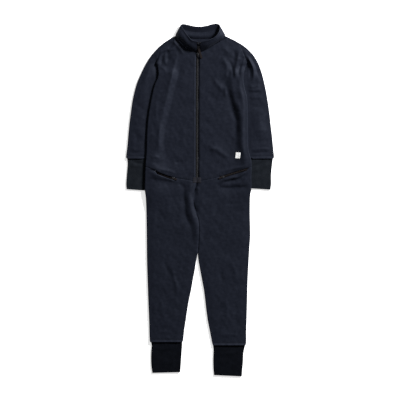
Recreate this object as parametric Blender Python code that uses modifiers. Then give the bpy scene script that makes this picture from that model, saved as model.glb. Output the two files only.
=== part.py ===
"""Child's one-piece fleece pyjama, laid flat on its back with its front up.

The garment is a set of sewn cloth walls. The torso and the trousers are a back and a front layer that
meet in rolled side seams, the sleeves and the cuffs are flattened tubes, and the collar is a doubled
band that lies open at the back and stands up at the front. The sleeves run down beside the body and
pass under its two sides, which they hold off the floor. A zip closes the front, and two slanted zips
close the pockets in the yoke seam.

Tables are in millimetres and the meshes in metres. X runs to the wearer's left, Y towards the neck and
Z up from the floor. "right" and "left" are the wearer's.
"""

from math import cos, exp, hypot, pi, radians, sin, sqrt

import bmesh
import bpy
from mathutils import Matrix, Vector

MM = 0.001

# Cloth and seams
FLEECE = 2.2
KNIT = 1.6
COLLAR_WALL = 3.6
COLLAR_CREST = 0.36  # share of the collar's height where it stands out the most
COLLAR_SPANS = 34
TAPE = 0.8
SEAM_GAP = 0.3
EDGE_ROLL = 3.0  # radius of a folded or sewn side edge, so two layers are twice this high there
KNIT_ROLL = 2.3
LOFT = 1.0  # how much further apart the two layers lie away from the edges
LOFT_REACH = 22.0
ROLL_ANGLES = (0, 48, 90)
UNDER_SPANS = 3

# How the body's sides ride on the sleeves: share of each sleeve that is tucked under, and where
SIDE_LIFT = 6.6
LIFT_FOOT = {"right": 35.0, "left": 23.0}  # how far in from the side the lift begins to fall
LIFT_RAMP = 22.0
SIDE_COLUMNS = {  # how far in from the side the wall has points: at a pocket's outer end, and down the ramp
    "right": (16.5, 33.0, 40.0, 57.0),
    "left": (8.75, 17.5, 28.0, 37.0, 45.0),
}
TUCK = {"right": 28.0, "left": 12.5}
LIFT_LOW = (-46.0, 30.0)  # the lift fades out between these two heights below the sleeves
LIFT_HIGH = (430.0, 456.0)  # and between these two at the armholes
ARMHOLE_FOOT = {"right": 462.0, "left": 469.0}  # the armhole seam runs straight from here to the shoulder
ROLL_BLEND = 10.0

# Front zip
ZIP_SLOT_HALF = 5.5
TAPE_HALF = 13.0
TAPE_LOW = 2.9
COIL_WIDTH = 2.75
COIL_LOW = TAPE_LOW + TAPE + SEAM_GAP
COIL_HIGH = COIL_LOW + 1.5
ZIP_FOOT_Y = 58.0
COIL_FOOT_Y = 67.0
NECK_DIP_Y = 492.0
NECK_DIP = 0.35
COLLAR_SLOPE_FOOT_Y = 508.4
COLLAR_SLOPE = 0.6
ZIP_SPREAD = 2.4
SLIDER_Y = 521.0
CROTCH_Y = -183.0

# Sliders and pull tabs
ROOF_HIGH = COIL_HIGH + SEAM_GAP + 1.7
BRIDGE_HALF = 0.8
BRIDGE_HIGH = 4.2
PIN_HIGH = 2.2
HOLE_RADIUS = 1.5
BAR_HALF = 0.5
PULL_THICK = 1.0
PULL_LENGTH = 37.0
PULL_END = (4.0, 486.0, 10.6)

# What lies on the front
PIECE_CLEAR = 0.65
ZIP_PATCH_MIDDLE = (-10.0, 68.0)
ZIP_PATCH_SIZE = (27.0, 18.0)
TAB_MIDDLE = (128.5, 151.5)
TAB_SIZE = (16.0, 20.0)
TAB_TURN = radians(-6)

# Pocket zips
POCKET_SLOT = 9.0
POCKET_TAPE_HALF = 9.5
POCKET_SLIDER_IN = 5.2

# Colours are linear RGB: dark navy fleece, near-black knit, black zips
FLEECE_COLOUR = (0.014, 0.016, 0.024, 1)
KNIT_COLOUR = (0.008, 0.010, 0.013, 1)
ZIP_COLOUR = (0.006, 0.007, 0.009, 1)
METAL_COLOUR = (0.10, 0.10, 0.11, 1)
TAB_COLOUR = (0.75, 0.75, 0.74, 1)

# Outline of the body: x of the edge at each height y, from the leg's hem to the shoulder point
BODY_EDGE = {
    "right": (
        (-483, -169.0), (-477, -171.0), (-409, -173.2), (-341, -176.0), (-273, -178.3), (-205, -180.4),
        (-154, -181.0), (-86, -181.7), (-18, -183.1), (14, -185.0), (36, -188.0), (74, -187.4),
        (113, -186.0), (172, -182.1), (235, -180.0), (296, -174.0), (366, -162.0), (423, -149.5),
        (462, -148.3),
    ),
    "left": (
        (-494, 154.5), (-486, 156.8), (-443, 157.0), (-409, 158.3), (-341, 160.2), (-273, 162.0),
        (-205, 165.4), (-154, 168.5), (-120, 170.6), (-52, 169.5), (14, 170.2), (36, 174.0), (74, 174.3),
        (131, 174.3), (172, 164.6), (235, 162.0), (296, 162.0), (349, 159.6), (382, 151.5),
        (415, 147.8), (440, 151.5), (469, 159.0),
    ),
}

SHOULDER_POINT = {"right": (527.0, -132.0), "left": (533.0, 134.0)}

# Inner edge of each leg below the crotch
INSEAM = {
    "right": (
        (-483, -60.5), (-477, -57.3), (-443, -53.9), (-409, -48.5), (-375, -43.7), (-341, -37.9),
        (-307, -30.4), (-273, -24.7), (-239, -17.9), (-205, -13.2), (-183, -8.3),
    ),
    "left": (
        (-494, 43.8), (-486, 41.0), (-443, 32.8), (-409, 26.0), (-375, 21.3), (-341, 17.5),
        (-307, 13.4), (-273, 7.0), (-239, 0.5), (-205, -5.6), (-183, -7.7),
    ),
}
CENTRE_SEAM = (
    (-183, -8.0), (-136, -4.6), (-85, -3.6), (-64, -6.6), (-46, -13.0), (-17, -20.0), (9, -24.0),
    (32, -18.5), (62, -10.0), (80, -10.0),
)
BACK_SEAM_X = -8.0
ZIP_LINE = ((40, -10.0), (200, -10.0), (460, -9.0), (504, -7.0), (521, -5.1), (540, -3.0))

# Yoke seam: its height y at each x, the same for the torso's lower edge and the trousers' upper edge
YOKE = (
    (-190, 114.0), (-178, 111.0), (-155, 101.5), (-118, 87.0), (-82, 75.5), (-68, 73.0), (-24, 65.5),
    (-20, 65.5), (0, 65.5), (4, 65.5), (27, 70.5), (59, 77.5), (80, 84.5), (120, 97.5), (163, 110.0),
    (178, 114.5),
)
YOKE_COLUMNS = {  # x of the wall's columns where they cross the yoke seam, shared by both its sides
    "right": (-24, -38, -54, -68, -83, -87, -100, -113, -126),
    "left": (4, 18, 34, 50, 68, 72, 88, 104, 122),
}
POCKET = {  # x where a pocket's slot is closed, open, open and closed, from its outer end inwards
    "right": (-153.3, -146.3, -87.0, -83.0),
    "left": (165.6, 156.9, 72.0, 68.0),
}
WAIST_Y = 100.0  # back's seam with the trouser backs

# Front neck seam and shoulder, then back neck seam and shoulder: height y at each x
FRONT_TOP = (
    (-148, 516.0), (-132, 527.5), (-118, 538.0), (-97, 551.5), (-87, 556.0), (-79.5, 545.2),
    (-63.5, 532.4), (-48, 516.2), (-29.5, 507.0), (-13, 502.6), (-2, 502.6), (9.5, 506.0), (24, 513.2),
    (44.5, 525.8), (63, 536.6), (79, 545.2), (89, 556.0), (100, 551.0), (118, 542.5), (134, 533.0),
    (150, 522.0),
)
BACK_TOP = (
    (-148, 516.0), (-132, 527.5), (-118, 538.0), (-97, 551.5), (-87, 556.5), (-76, 559.2), (-50, 553.2),
    (-24, 548.8), (1, 547.8), (27, 548.8), (52, 553.2), (78, 559.2), (89, 556.5), (100, 551.0),
    (118, 542.5), (134, 533.0), (150, 522.0),
)
NECK_POINT = {"right": -87.0, "left": 89.0}
SHOULDER_SLOPE = radians(34)

# Sleeves: outer and inner edge of each section from the armhole seam to the cuff seam
SLEEVE = {
    # outer x, outer y, inner x, inner y, loft
    "right": (
        (-132.6, 527.6, -149.0, 461.9, 0.6), (-149.0, 511.0, -151.2, 457.0, 1.4),
        (-164.0, 493.5, -150.0, 449.0, 1.8), (-178.0, 473.5, -149.6, 440.0, 2.0),
        (-190.5, 451.0, -147.5, 427.0, 2.0), (-202.0, 427.0, -141.5, 409.0, 1.8),
        (-213.5, 400.5, -141.0, 387.0, 1.5), (-222.0, 372.0, -142.0, 361.0, 1.4),
        (-229.5, 338.0, -143.5, 330.0, 1.2), (-235.0, 300.0, -147.0, 294.0, 1.3),
        (-240.0, 262.0, -150.6, 256.0, 1.1), (-243.5, 226.0, -152.4, 221.0, 1.0),
        (-247.0, 184.0, -154.0, 181.0, 1.0), (-251.0, 152.0, -156.5, 150.0, 1.2),
        (-251.4, 144.5, -158.5, 143.5, 1.0), (-248.0, 140.4, -165.0, 139.8, -1.2),
    ),
    "left": (
        (134.7, 533.4, 159.9, 468.6, 0.6), (152.0, 521.5, 161.3, 463.5, 1.4),
        (168.0, 507.0, 158.4, 455.5, 1.8), (182.0, 491.5, 156.2, 447.0, 2.0),
        (194.5, 471.0, 152.8, 436.0, 2.0), (204.5, 448.0, 149.8, 424.0, 1.8),
        (212.5, 423.0, 145.0, 407.0, 1.6), (220.0, 392.0, 143.0, 382.0, 1.4),
        (226.5, 359.0, 147.0, 350.0, 1.3), (232.0, 324.0, 149.0, 318.0, 1.2),
        (236.7, 290.0, 149.8, 286.0, 1.2), (240.5, 254.0, 149.8, 251.0, 1.0),
        (244.8, 218.0, 150.2, 216.0, 1.0), (248.0, 184.0, 151.8, 182.0, 1.0),
        (251.4, 152.0, 157.5, 150.5, 1.2), (251.4, 144.5, 159.0, 143.5, 1.0),
        (248.0, 140.4, 164.0, 139.8, -1.2),
    ),
}
ARM_CUFF = {
    "right": (
        (-247.6, 140.0, -165.2, 139.4, 0.0), (-246.0, 124.0, -166.5, 122.5, 0.5),
        (-247.4, 104.0, -168.0, 101.5, 0.4), (-249.6, 78.0, -170.0, 74.5, 0.3),
        (-251.0, 52.0, -172.0, 48.0, 0.3), (-249.4, 36.9, -172.0, 31.2, 0.2),
    ),
    "left": (
        (247.6, 140.0, 164.2, 139.4, 0.0), (245.2, 122.0, 165.5, 121.0, 0.5),
        (243.0, 100.5, 164.5, 99.5, 0.4), (241.6, 80.0, 163.5, 79.0, 0.3),
        (241.7, 54.0, 163.2, 55.0, 0.3), (239.4, 35.4, 163.5, 40.2, 0.2),
    ),
}
LEG_CUFF = {
    "right": (
        (-166.6, -483.4, -60.6, -483.4, 0.0), (-164.3, -495.0, -60.9, -495.0, 0.5),
        (-165.9, -513.0, -62.2, -513.0, 0.4), (-166.5, -545.0, -64.4, -545.0, 0.3),
        (-164.8, -570.0, -66.0, -568.0, 0.3), (-162.0, -587.4, -67.5, -585.0, 0.2),
    ),
    "left": (
        (153.2, -494.4, 44.2, -494.4, 0.0), (149.6, -509.0, 45.8, -509.0, 0.5),
        (146.9, -528.0, 45.2, -528.0, 0.4), (146.2, -548.0, 44.8, -548.0, 0.3),
        (143.8, -575.0, 45.6, -574.0, 0.3), (141.6, -599.2, 47.5, -594.9, 0.2),
    ),
}

# Collar: foot and top of its middle surface at each station, from the right front edge round the back
COLLAR = (
    # foot x, y, z, top x, y, z, and how far its low part stands above the straight line between them
    (-12.6, 504.0, 6.9, -8.8, 538.5, 28.0, 0.5),
    (-29.0, 508.5, 6.9, -27.0, 542.5, 29.0, 6.0),
    (-47.4, 517.7, 6.9, -40.0, 556.0, 26.5, 9.0),
    (-63.0, 534.0, 6.8, -51.5, 572.0, 21.5, 9.5),
    (-78.0, 547.5, 6.6, -58.8, 585.0, 15.0, 7.5),
    (-82.6, 559.6, 4.2, -64.0, 595.0, 8.2, 3.0),
    (-76.0, 561.6, 1.8, -56.0, 598.0, 2.4, 0.0),
    (-50.0, 554.6, 1.8, -40.0, 595.2, 1.8, 0.0),
    (-24.0, 550.0, 1.8, -20.0, 590.6, 1.8, 0.0),
    (1.0, 549.0, 1.8, 1.0, 589.2, 1.8, 0.0),
    (27.0, 550.0, 1.8, 24.0, 592.8, 1.8, 0.0),
    (52.0, 554.6, 1.8, 42.0, 597.8, 1.8, 0.0),
    (78.0, 561.6, 1.8, 57.0, 599.0, 2.4, 0.0),
    (84.8, 559.6, 4.2, 64.4, 595.0, 9.0, 2.5),
    (78.0, 547.6, 6.6, 66.4, 583.0, 17.0, 4.5),
    (62.5, 538.4, 6.8, 64.0, 571.0, 25.0, 5.5),
    (44.0, 527.5, 6.9, 54.5, 556.0, 29.0, 6.0),
    (23.5, 515.0, 6.9, 38.0, 545.5, 30.0, 6.0),
    (9.0, 507.6, 6.9, 20.0, 540.8, 29.5, 3.5),
    (-1.4, 504.0, 6.9, 2.6, 538.5, 28.0, 0.5),
)

# Heights of the rows of points that the front and the back share, so that their side seams match
TORSO_ROWS = (135, 172, 210, 248, 286, 325, 366, 405, 430, 443, 456, 475, 493)
TROUSER_ROWS = (
    -440, -400, -355, -310, -265, -225, -195, -187, -177, -150, -115, -80, -46, -17, 6, 17, 28,
)

# Main folds of the front layer: path, half width and height (a trough is negative)
FOLDS = (
    ("long ridge on the right chest",
     ((-79, 496), (-90, 440), (-104, 380), (-118, 320), (-127, 262)), 10.0, 3.0),
    ("lower end of that ridge", ((-132, 262), (-139, 215), (-141, 156)), 9.0, 2.4),
    ("hollow inside that ridge", ((-66, 470), (-76, 410), (-86, 350)), 12.0, -1.0),
    ("short ridge on the left chest", ((82, 474), (91, 447), (88, 402)), 9.0, 2.6),
    ("hollow beside that ridge", ((103, 466), (111, 436), (110, 404)), 8.0, -1.3),
    ("ridge beside the left armhole", ((138, 510), (127, 476), (120, 446), (122, 410)), 8.0, 2.8),
    ("long valley on the left chest",
     ((99, 396), (101, 355), (113, 310), (124, 268), (125, 222), (128, 190)), 9.0, -1.4),
    ("ridge outside that valley", ((128, 344), (134, 308), (140, 272)), 9.0, 1.8),
    ("ridge inside that valley", ((87, 394), (86, 368), (88, 344)), 8.0, 2.0),
    ("slant on the left chest", ((43, 411), (63, 390), (79, 366)), 9.0, 2.4),
    ("slant above the left pocket", ((24, 179), (62, 167), (102, 142)), 10.0, 3.0),
    ("right shoulder", ((-112, 548), (-86, 534), (-62, 505), (-54, 488)), 8.0, 3.0),
    ("fold over the right armhole", ((-142, 494), (-116, 505), (-95, 511), (-72, 530)), 8.0, 2.6),
    ("fold beside the right armhole", ((-122, 506), (-137, 481), (-140, 450)), 8.0, 2.2),
    ("fold from the right underarm", ((-146, 460), (-126, 446), (-106, 435)), 8.0, 2.4),
    ("left shoulder", ((104, 486), (95, 500), (84, 512), (66, 520)), 9.0, 1.4),
    ("right pocket lip", ((-150, 92), (-118, 78), (-86, 68)), 6.0, 1.4),
    ("left pocket lip", ((70, 67), (108, 82), (158, 99)), 6.0, 1.7),
    ("hollow under the left lip", ((96, 66), (118, 68), (142, 74)), 7.0, -0.9),
    ("fold across the left hip", ((58, 53), (90, 42), (125, 43), (168, 44)), 7.0, -1.3),
    ("ridge under the zip", ((-26, 56), (-25, 36), (-34, 8)), 7.0, 1.8),
    ("ridge beside the centre seam", ((-41, 22), (-38, 0), (-32, -40), (-20, -80), (-12, -118)), 9.0, 3.2),
    ("crease on the right thigh", ((-60, 18), (-54, -20), (-45, -60), (-33, -100), (-28, -150)), 9.0, -1.2),
    ("left hip arc", ((84, -9), (110, -13), (142, -9)), 10.0, -0.9),
    ("right shin", ((-99, -215), (-92, -250), (-82, -285), (-76, -325)), 11.0, 1.4),
    ("left shin", ((84, -330), (92, -372), (86, -420)), 12.0, 1.0),
)


def clamp01(t):
    return max(0.0, min(1.0, t))


def ease(t):
    t = clamp01(t)
    return t * t * (3 - 2 * t)


def lerp(a, b, t):
    return a + (b - a) * t


def smooth_value(table, at):
    """Cubic curve through the table's (place, value) rows, straight on past its ends."""
    rows = [*table]
    slopes = []
    for i in range(len(rows)):
        before, after = rows[max(i - 1, 0)], rows[min(i + 1, len(rows) - 1)]
        slopes.append((after[1] - before[1]) / (after[0] - before[0]))
    if at <= rows[0][0]:
        return rows[0][1] + slopes[0] * (at - rows[0][0])
    if at >= rows[-1][0]:
        return rows[-1][1] + slopes[-1] * (at - rows[-1][0])
    i = max(k for k in range(len(rows) - 1) if rows[k][0] <= at)
    span = rows[i + 1][0] - rows[i][0]
    t = (at - rows[i][0]) / span
    return (
        (2 * t**3 - 3 * t**2 + 1) * rows[i][1]
        + (t**3 - 2 * t**2 + t) * span * slopes[i]
        + (3 * t**2 - 2 * t**3) * rows[i + 1][1]
        + (t**3 - t**2) * span * slopes[i + 1]
    )


def straight_value(table, at):
    rows = [*table]
    for (a, value_a), (b, value_b) in zip(rows, rows[1:]):
        if at <= b:
            break
    return lerp(value_a, value_b, (at - a) / (b - a))


def side_of(x):
    return "right" if x < BACK_SEAM_X else "left"


def body_edge(side, y):
    """x of the body's edge: a curve up to the armhole, then the armhole's straight seam."""
    foot = ARMHOLE_FOOT[side]
    if y <= foot:
        return smooth_value(BODY_EDGE[side], y)
    return straight_value((BODY_EDGE[side][-1], SHOULDER_POINT[side]), y)


def lift(x, y):
    """Height of the body's underside: zero on the floor, higher where a sleeve passes under its side."""
    side = side_of(x)
    inside = abs(body_edge(side, y) - x)
    across = 1 - ease((inside - LIFT_FOOT[side]) / LIFT_RAMP)
    low, high = LIFT_LOW, LIFT_HIGH
    along = ease((y - low[0]) / (low[1] - low[0])) * (1 - ease((y - high[0]) / (high[1] - high[0])))
    return SIDE_LIFT * across * along


def path_distance(path, x, y):
    """Distance from a path, and the share of its length at the nearest place."""
    lengths = [hypot(b[0] - a[0], b[1] - a[1]) for a, b in zip(path, path[1:])]
    nearest, share, done = 1e9, 0.0, 0.0
    for (a, b), length in zip(zip(path, path[1:]), lengths):
        t = clamp01(((x - a[0]) * (b[0] - a[0]) + (y - a[1]) * (b[1] - a[1])) / length**2)
        gap = hypot(x - lerp(a[0], b[0], t), y - lerp(a[1], b[1], t))
        if gap < nearest:
            nearest, share = gap, (done + t * length) / sum(lengths)
        done += length
    return nearest, share


def folds(x, y):
    height = 0.0
    for _, path, half_width, peak in FOLDS:
        gap, share = path_distance(path, x, y)
        if gap < 3 * half_width:
            ends = min(1.0, 0.35 + 3.2 * min(share, 1 - share))
            height += peak * ends * exp(-((gap / half_width) ** 2))
    return height


def closed_mesh(name, points, faces, colour, roughness, metallic=0.0):
    """One closed object from points in millimetres."""
    shape = bmesh.new()
    made = [shape.verts.new(Vector(p) * MM) for p in points]
    for face in faces:
        shape.faces.new([made[i] for i in face])
    bmesh.ops.recalc_face_normals(shape, faces=shape.faces)
    mesh = bpy.data.meshes.new(name)
    shape.to_mesh(mesh)
    shape.free()
    mesh.shade_smooth()
    mesh.set_sharp_from_angle(angle=radians(50))
    return add_object(name, mesh, colour, roughness, metallic)


def add_object(name, mesh, colour, roughness, metallic=0.0, collection=None):
    piece = bpy.data.objects.new(name, mesh)
    finish = bpy.data.materials.new(name)
    finish.use_nodes = True
    shader = finish.node_tree.nodes["Principled BSDF"]
    shader.inputs["Base Color"].default_value = colour
    shader.inputs["Roughness"].default_value = roughness
    shader.inputs["Metallic"].default_value = metallic
    mesh.materials.append(finish)
    (collection or GARMENT).objects.link(piece)
    if collection is CUTTERS:
        piece.hide_render = True
        piece.display_type = "WIRE"
    else:
        piece.parent = ROOT
    return piece


def wall(name, outer, inner, colour, roughness, ring=False):
    """Closed wall between two grids of points. A ring's rows close on themselves."""
    rows, columns = len(outer), len(outer[0])
    points = [p for grid in (outer, inner) for row in grid for p in row]

    def at(layer, row, column):
        return (layer * rows + row) * columns + column % columns

    faces = []
    spans = columns if ring else columns - 1
    for r in range(rows - 1):
        for c in range(spans):
            faces.append((at(0, r, c), at(0, r, c + 1), at(0, r + 1, c + 1), at(0, r + 1, c)))
            faces.append((at(1, r, c), at(1, r + 1, c), at(1, r + 1, c + 1), at(1, r, c + 1)))
        if not ring:
            for c in (0, columns - 1):
                faces.append((at(0, r, c), at(0, r + 1, c), at(1, r + 1, c), at(1, r, c)))
    for r in (0, rows - 1):
        for c in range(spans):
            faces.append((at(0, r, c), at(0, r, c + 1), at(1, r, c + 1), at(1, r, c)))
    return closed_mesh(name, points, faces, colour, roughness)


class Panel:
    """A flat-laid panel between an inner and an outer edge x(y) and a low and a high edge y(x).

    Columns keep their distance from an edge near it and share out the width between. A layer is the
    front, which rolls down at its sewn edges, or the back, which rolls up. The wall is measured along
    the roll's own direction, so two layers meet in a thin seam halfway up the side.
    """

    def __init__(self, side, inner_x, outer_x, low_y, high_y, front):
        self.inward = 1 if side == "right" else -1
        self.inner_x, self.outer_x, self.low_y, self.high_y = inner_x, outer_x, low_y, high_y
        self.front = front
        self.outer_roll = lambda y: 1.0
        self.inner_roll = lambda y: 0.0
        self.top_roll = lambda x: 0.0
        self.hem_drop = 0.0
        self.hem_reach = 5.0

    def column_x(self, column, y):
        kind, amount = column
        inner, outer = self.inner_x(y), self.outer_x(y)
        if kind == "outer":
            return outer + self.inward * amount
        if kind == "inner":
            return inner - self.inward * amount
        start, stop = self.margins
        return lerp(inner - self.inward * start, outer + self.inward * stop, amount)

    def meet(self, column, edge, guess):
        """The y where a column meets the low or high edge."""
        y = guess
        for _ in range(40):
            y = lerp(y, edge(self.column_x(column, y)), 0.6)
        return y

    def row_y(self, row, low, high):
        """Height of a row: a distance from the low or high edge, a fixed height, or a share above it."""
        kind, amount = row
        if kind == "low":
            return low + amount
        if kind == "high":
            return high - amount
        if kind == "at":
            return amount
        return lerp(self.last_fixed_row, high, amount)

    def point(self, column, row, low, high):
        y = self.row_y(row, low, high)
        x = self.column_x(column, y)
        from_outer = abs(x - self.outer_x(y))
        from_inner = abs(x - self.inner_x(y))
        from_top = (high - y) * cos(SHOULDER_SLOPE)
        rolls = (
            (from_outer, self.outer_roll(y), (-self.inward, 0)),
            (from_inner, self.inner_roll(y), (self.inward, 0)),
            (from_top, self.top_roll(x), (-self.inward * sin(SHOULDER_SLOPE), cos(SHOULDER_SLOPE))),
        )
        drop, flat_x, flat_y, room = 0.0, 0.0, 0.0, 1.0
        for gap, amount, direction in rolls:
            room *= 1 - amount * (1 - ease((gap - EDGE_ROLL) / LOFT_REACH))
            reach = clamp01(1 - gap / EDGE_ROLL)
            if amount > 0 and reach > 0:
                rise = sqrt(1 - reach * reach)
                drop += (EDGE_ROLL - SEAM_GAP / 2) * (1 - rise) * amount
                flat_x += reach * direction[0] * amount
                flat_y += reach * direction[1] * amount
        flat = hypot(flat_x, flat_y)
        if flat > 1:
            flat_x, flat_y, flat = flat_x / flat, flat_y / flat, 1.0
        full = EDGE_ROLL - SEAM_GAP / 2
        drop = min(drop, full)
        up = sqrt(1 - flat * flat)
        if self.front:
            z = 2 * EDGE_ROLL + room * (LOFT + folds(x, y)) - drop
            z -= self.hem_drop * (1 - ease((y - low) / self.hem_reach)) * (1 - drop / full)
            up = min(up, (z - EDGE_ROLL - SEAM_GAP / 2) / FLEECE)
            z += lift(x, y)
            return (x, y, z), (x - FLEECE * flat_x, y - FLEECE * flat_y, z - FLEECE * up)
        up = min(up, (full - drop) / FLEECE)
        z = lift(x, y) + drop
        return (x, y, z), (x - FLEECE * flat_x, y - FLEECE * flat_y, z + FLEECE * up)

    def build(self, name, columns, rows, margins, guesses):
        self.margins = margins
        self.last_fixed_row = max((row[1] for row in rows if row[0] == "at"), default=0)
        outer = [[] for _ in rows]
        inner = [[] for _ in rows]
        for column in columns:
            low = self.meet(column, self.low_y, guesses[0])
            high = self.meet(column, self.high_y, guesses[1])
            for r, row in enumerate(rows):
                out_point, in_point = self.point(column, row, low, high)
                outer[r].append(out_point)
                inner[r].append(in_point)
        return wall(name, outer, inner, FLEECE_COLOUR, 0.95)


def roll_steps():
    """Distances from a rolled edge at which the wall has points."""
    return [EDGE_ROLL * (1 - cos(radians(a))) for a in ROLL_ANGLES]


def shares(count):
    return [("share", i / (count + 1)) for i in range(1, count + 1)]


def fixed(heights):
    return [("at", y) for y in heights]


def crossing(panel, margins, places):
    """Columns that cross the yoke seam at the given places."""
    columns = []
    for x in places:
        y = smooth_value(YOKE, x)
        start = panel.inner_x(y) - panel.inward * margins[0]
        stop = panel.outer_x(y) + panel.inward * margins[1]
        columns.append(("share", (x - start) / (stop - start)))
    return columns


def side_steps(side):
    """Columns beside the body's outer edge, close where it is lifted over the sleeve."""
    return [*roll_steps(), *SIDE_COLUMNS[side]]


def outer_columns(side):
    return [("outer", d) for d in reversed(side_steps(side))]


def zip_edge(side):
    sign = -1 if side == "right" else 1
    return lambda y: smooth_value(ZIP_LINE, y) + sign * ZIP_SLOT_HALF


def pocket_drop(side, x):
    """How far the trousers' upper edge lies below the yoke seam, to leave the pocket's zip open."""
    outer_closed, outer_open, inner_open, inner_closed = (abs(place) for place in POCKET[side])
    share = min((outer_closed - abs(x)) / (outer_closed - outer_open), (abs(x) - inner_closed) / 4)
    return SEAM_GAP + POCKET_SLOT * clamp01(share)


def build_fronts():
    for side in ("right", "left"):
        panel = Panel(
            side,
            zip_edge(side),
            lambda y, side=side: body_edge(side, y),
            lambda x: smooth_value(YOKE, x),
            lambda x: straight_value(FRONT_TOP, x),
            front=True,
        )
        panel.outer_roll = armhole_roll
        neck = NECK_POINT[side]
        panel.top_roll = lambda x, neck=neck: ease((abs(x) - abs(neck)) / 6)
        margins = (4.0, side_steps(side)[-1])
        middle = crossing(panel, margins, YOKE_COLUMNS[side])
        columns = [("inner", 0.0), ("inner", 4.0), *middle, *outer_columns(side)]
        rows = [("low", 0.0), ("low", 9.0), *fixed(TORSO_ROWS), ("above", 0.5), *shoulder_rows()]
        panel.build(f"front_{side}", columns, rows, margins, (80, 530))


def armhole_roll(y):
    """The side edge rolls below the armhole and is a plain seam along it."""
    return 1 - ease((y - LIFT_HIGH[1]) / ROLL_BLEND)


def shoulder_rows():
    return [("high", d / cos(SHOULDER_SLOPE)) for d in reversed(roll_steps())]


def build_back():
    panel = Panel(
        "right",
        lambda y: body_edge("left", y),
        lambda y: body_edge("right", y),
        lambda x: WAIST_Y,
        lambda x: straight_value(BACK_TOP, x),
        front=False,
    )
    panel.outer_roll = armhole_roll
    panel.inner_roll = armhole_roll
    panel.top_roll = lambda x: ease(max(NECK_POINT["right"] - x, x - NECK_POINT["left"]) / 6)
    columns = [("inner", d) for d in side_steps("left")] + shares(6) + outer_columns("right")
    rows = [("low", 0.0), *fixed(TORSO_ROWS), ("above", 0.5), *shoulder_rows()]
    margins = (side_steps("left")[-1], side_steps("right")[-1])
    panel.build("back", columns, rows, margins, (100, 540))


def leg_inner_x(side, seam):
    """Inner edge of a trouser piece: the centre seam above the crotch and the inseam below it."""
    sign = -1 if side == "right" else 1

    def edge(y):
        if y > CROTCH_Y:
            return seam(y) + sign * SEAM_GAP / 2
        return straight_value(INSEAM[side], y)

    return edge


def build_trousers():
    for side in ("right", "left"):
        hem_y = BODY_EDGE[side][0][0]
        for layer in ("front", "back"):
            front = layer == "front"
            seam = (lambda y: smooth_value(CENTRE_SEAM, y)) if front else (lambda y: BACK_SEAM_X)
            top = (
                (lambda x, side=side: smooth_value(YOKE, x) - pocket_drop(side, x))
                if front
                else (lambda x: WAIST_Y - SEAM_GAP)
            )
            panel = Panel(
                side,
                leg_inner_x(side, seam),
                lambda y, side=side: body_edge(side, y),
                lambda x, hem_y=hem_y: hem_y,
                top,
                front=front,
            )
            panel.inner_roll = lambda y: ease((CROTCH_Y + 6 - y) / ROLL_BLEND)
            panel.hem_drop = 1.0
            edge = roll_steps()
            margins = (edge[-1], side_steps(side)[-1])
            middle = crossing(panel, margins, YOKE_COLUMNS[side]) if front else shares(2)
            columns = [("inner", d) for d in edge] + middle + outer_columns(side)
            upper = [("high", d) for d in (34, 24, 15, 7, 0)] if front else [("at", 60), ("high", 0.0)]
            rows = [("low", 0.0), ("low", 5.0), *fixed(TROUSER_ROWS), *upper]
            panel.build(f"trouser_{layer}_{side}", columns, rows, margins, (hem_y, 85))


def flat_tube(name, stations, roll, thickness, colour, across, hidden_reach=0.0, wrinkle=None):
    """Tube pressed flat on the floor. Each station is a row: outer x, y, inner x, y and extra loft."""
    outer_rows, inner_rows = [], []
    arc = [radians(a) for a in (-52, 0, 52)]
    for outer_x, outer_y, inner_x, inner_y, loft in stations:
        start, stop = Vector((outer_x, outer_y, 0)), Vector((inner_x, inner_y, 0))
        width = (stop - start).length
        along = (stop - start) / width
        section = []  # (distance from the outer edge, height, outward share across, outward share up)
        for i in range(across + 1):
            d = lerp(roll, width - roll, i / across)
            rise = ease((d - roll) / LOFT_REACH) * ease((width - d - roll - hidden_reach) / LOFT_REACH)
            place = start + along * d
            extra = loft + (wrinkle(place.x, place.y) if wrinkle else 0.0)
            end = 1.0 if loft >= 0 else 0.0
            lowered = loft if loft < 0 else 0.0
            section.append((d, 2 * roll + end * rise * extra + lowered, 0.0, 1.0))
        top_height = 2 * roll + (loft if loft < 0 else 0.0)
        radius = top_height / 2
        for a in reversed(arc):
            section.append((width - roll + roll * cos(a), radius + radius * sin(a), cos(a), sin(a)))
        for i in range(UNDER_SPANS + 1):
            d = lerp(width - roll, roll, i / UNDER_SPANS)
            section.append((d, 0.0, 0.0, -1.0))
        for a in arc:
            section.append((roll - roll * cos(a), radius + radius * sin(a), -cos(a), sin(a)))
        outer, inner = [], []
        for d, z, flat, up in section:
            place = start + along * d
            outer.append((place.x, place.y, z))
            place = start + along * (d - thickness * flat)
            inner.append((place.x, place.y, z - thickness * up))
        outer_rows.append(outer)
        inner_rows.append(inner)
    return wall(name, outer_rows, inner_rows, colour, 0.95, ring=True)


def sleeve_wrinkles(x, y):
    """Small folds that cross the sleeves above the elbow and near the armhole."""
    marks = (
        ((-150, 480), (-172, 462), 8.0, 1.2), ((-150, 448), (-178, 430), 8.0, 0.9),
        ((164, 492), (178, 462), 8.0, 1.3), ((160, 470), (170, 430), 7.0, 1.2),
        ((172, 382), (208, 390), 8.0, 0.9), ((176, 352), (214, 356), 8.0, 0.8),
        ((-222, 330), (-196, 312), 9.0, 0.7), ((196, 250), (236, 262), 10.0, 0.6),
    )
    height = 0.0
    for start, stop, half_width, peak in marks:
        gap, _ = path_distance((start, stop), x, y)
        height += peak * exp(-((gap / half_width) ** 2))
    return height


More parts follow.
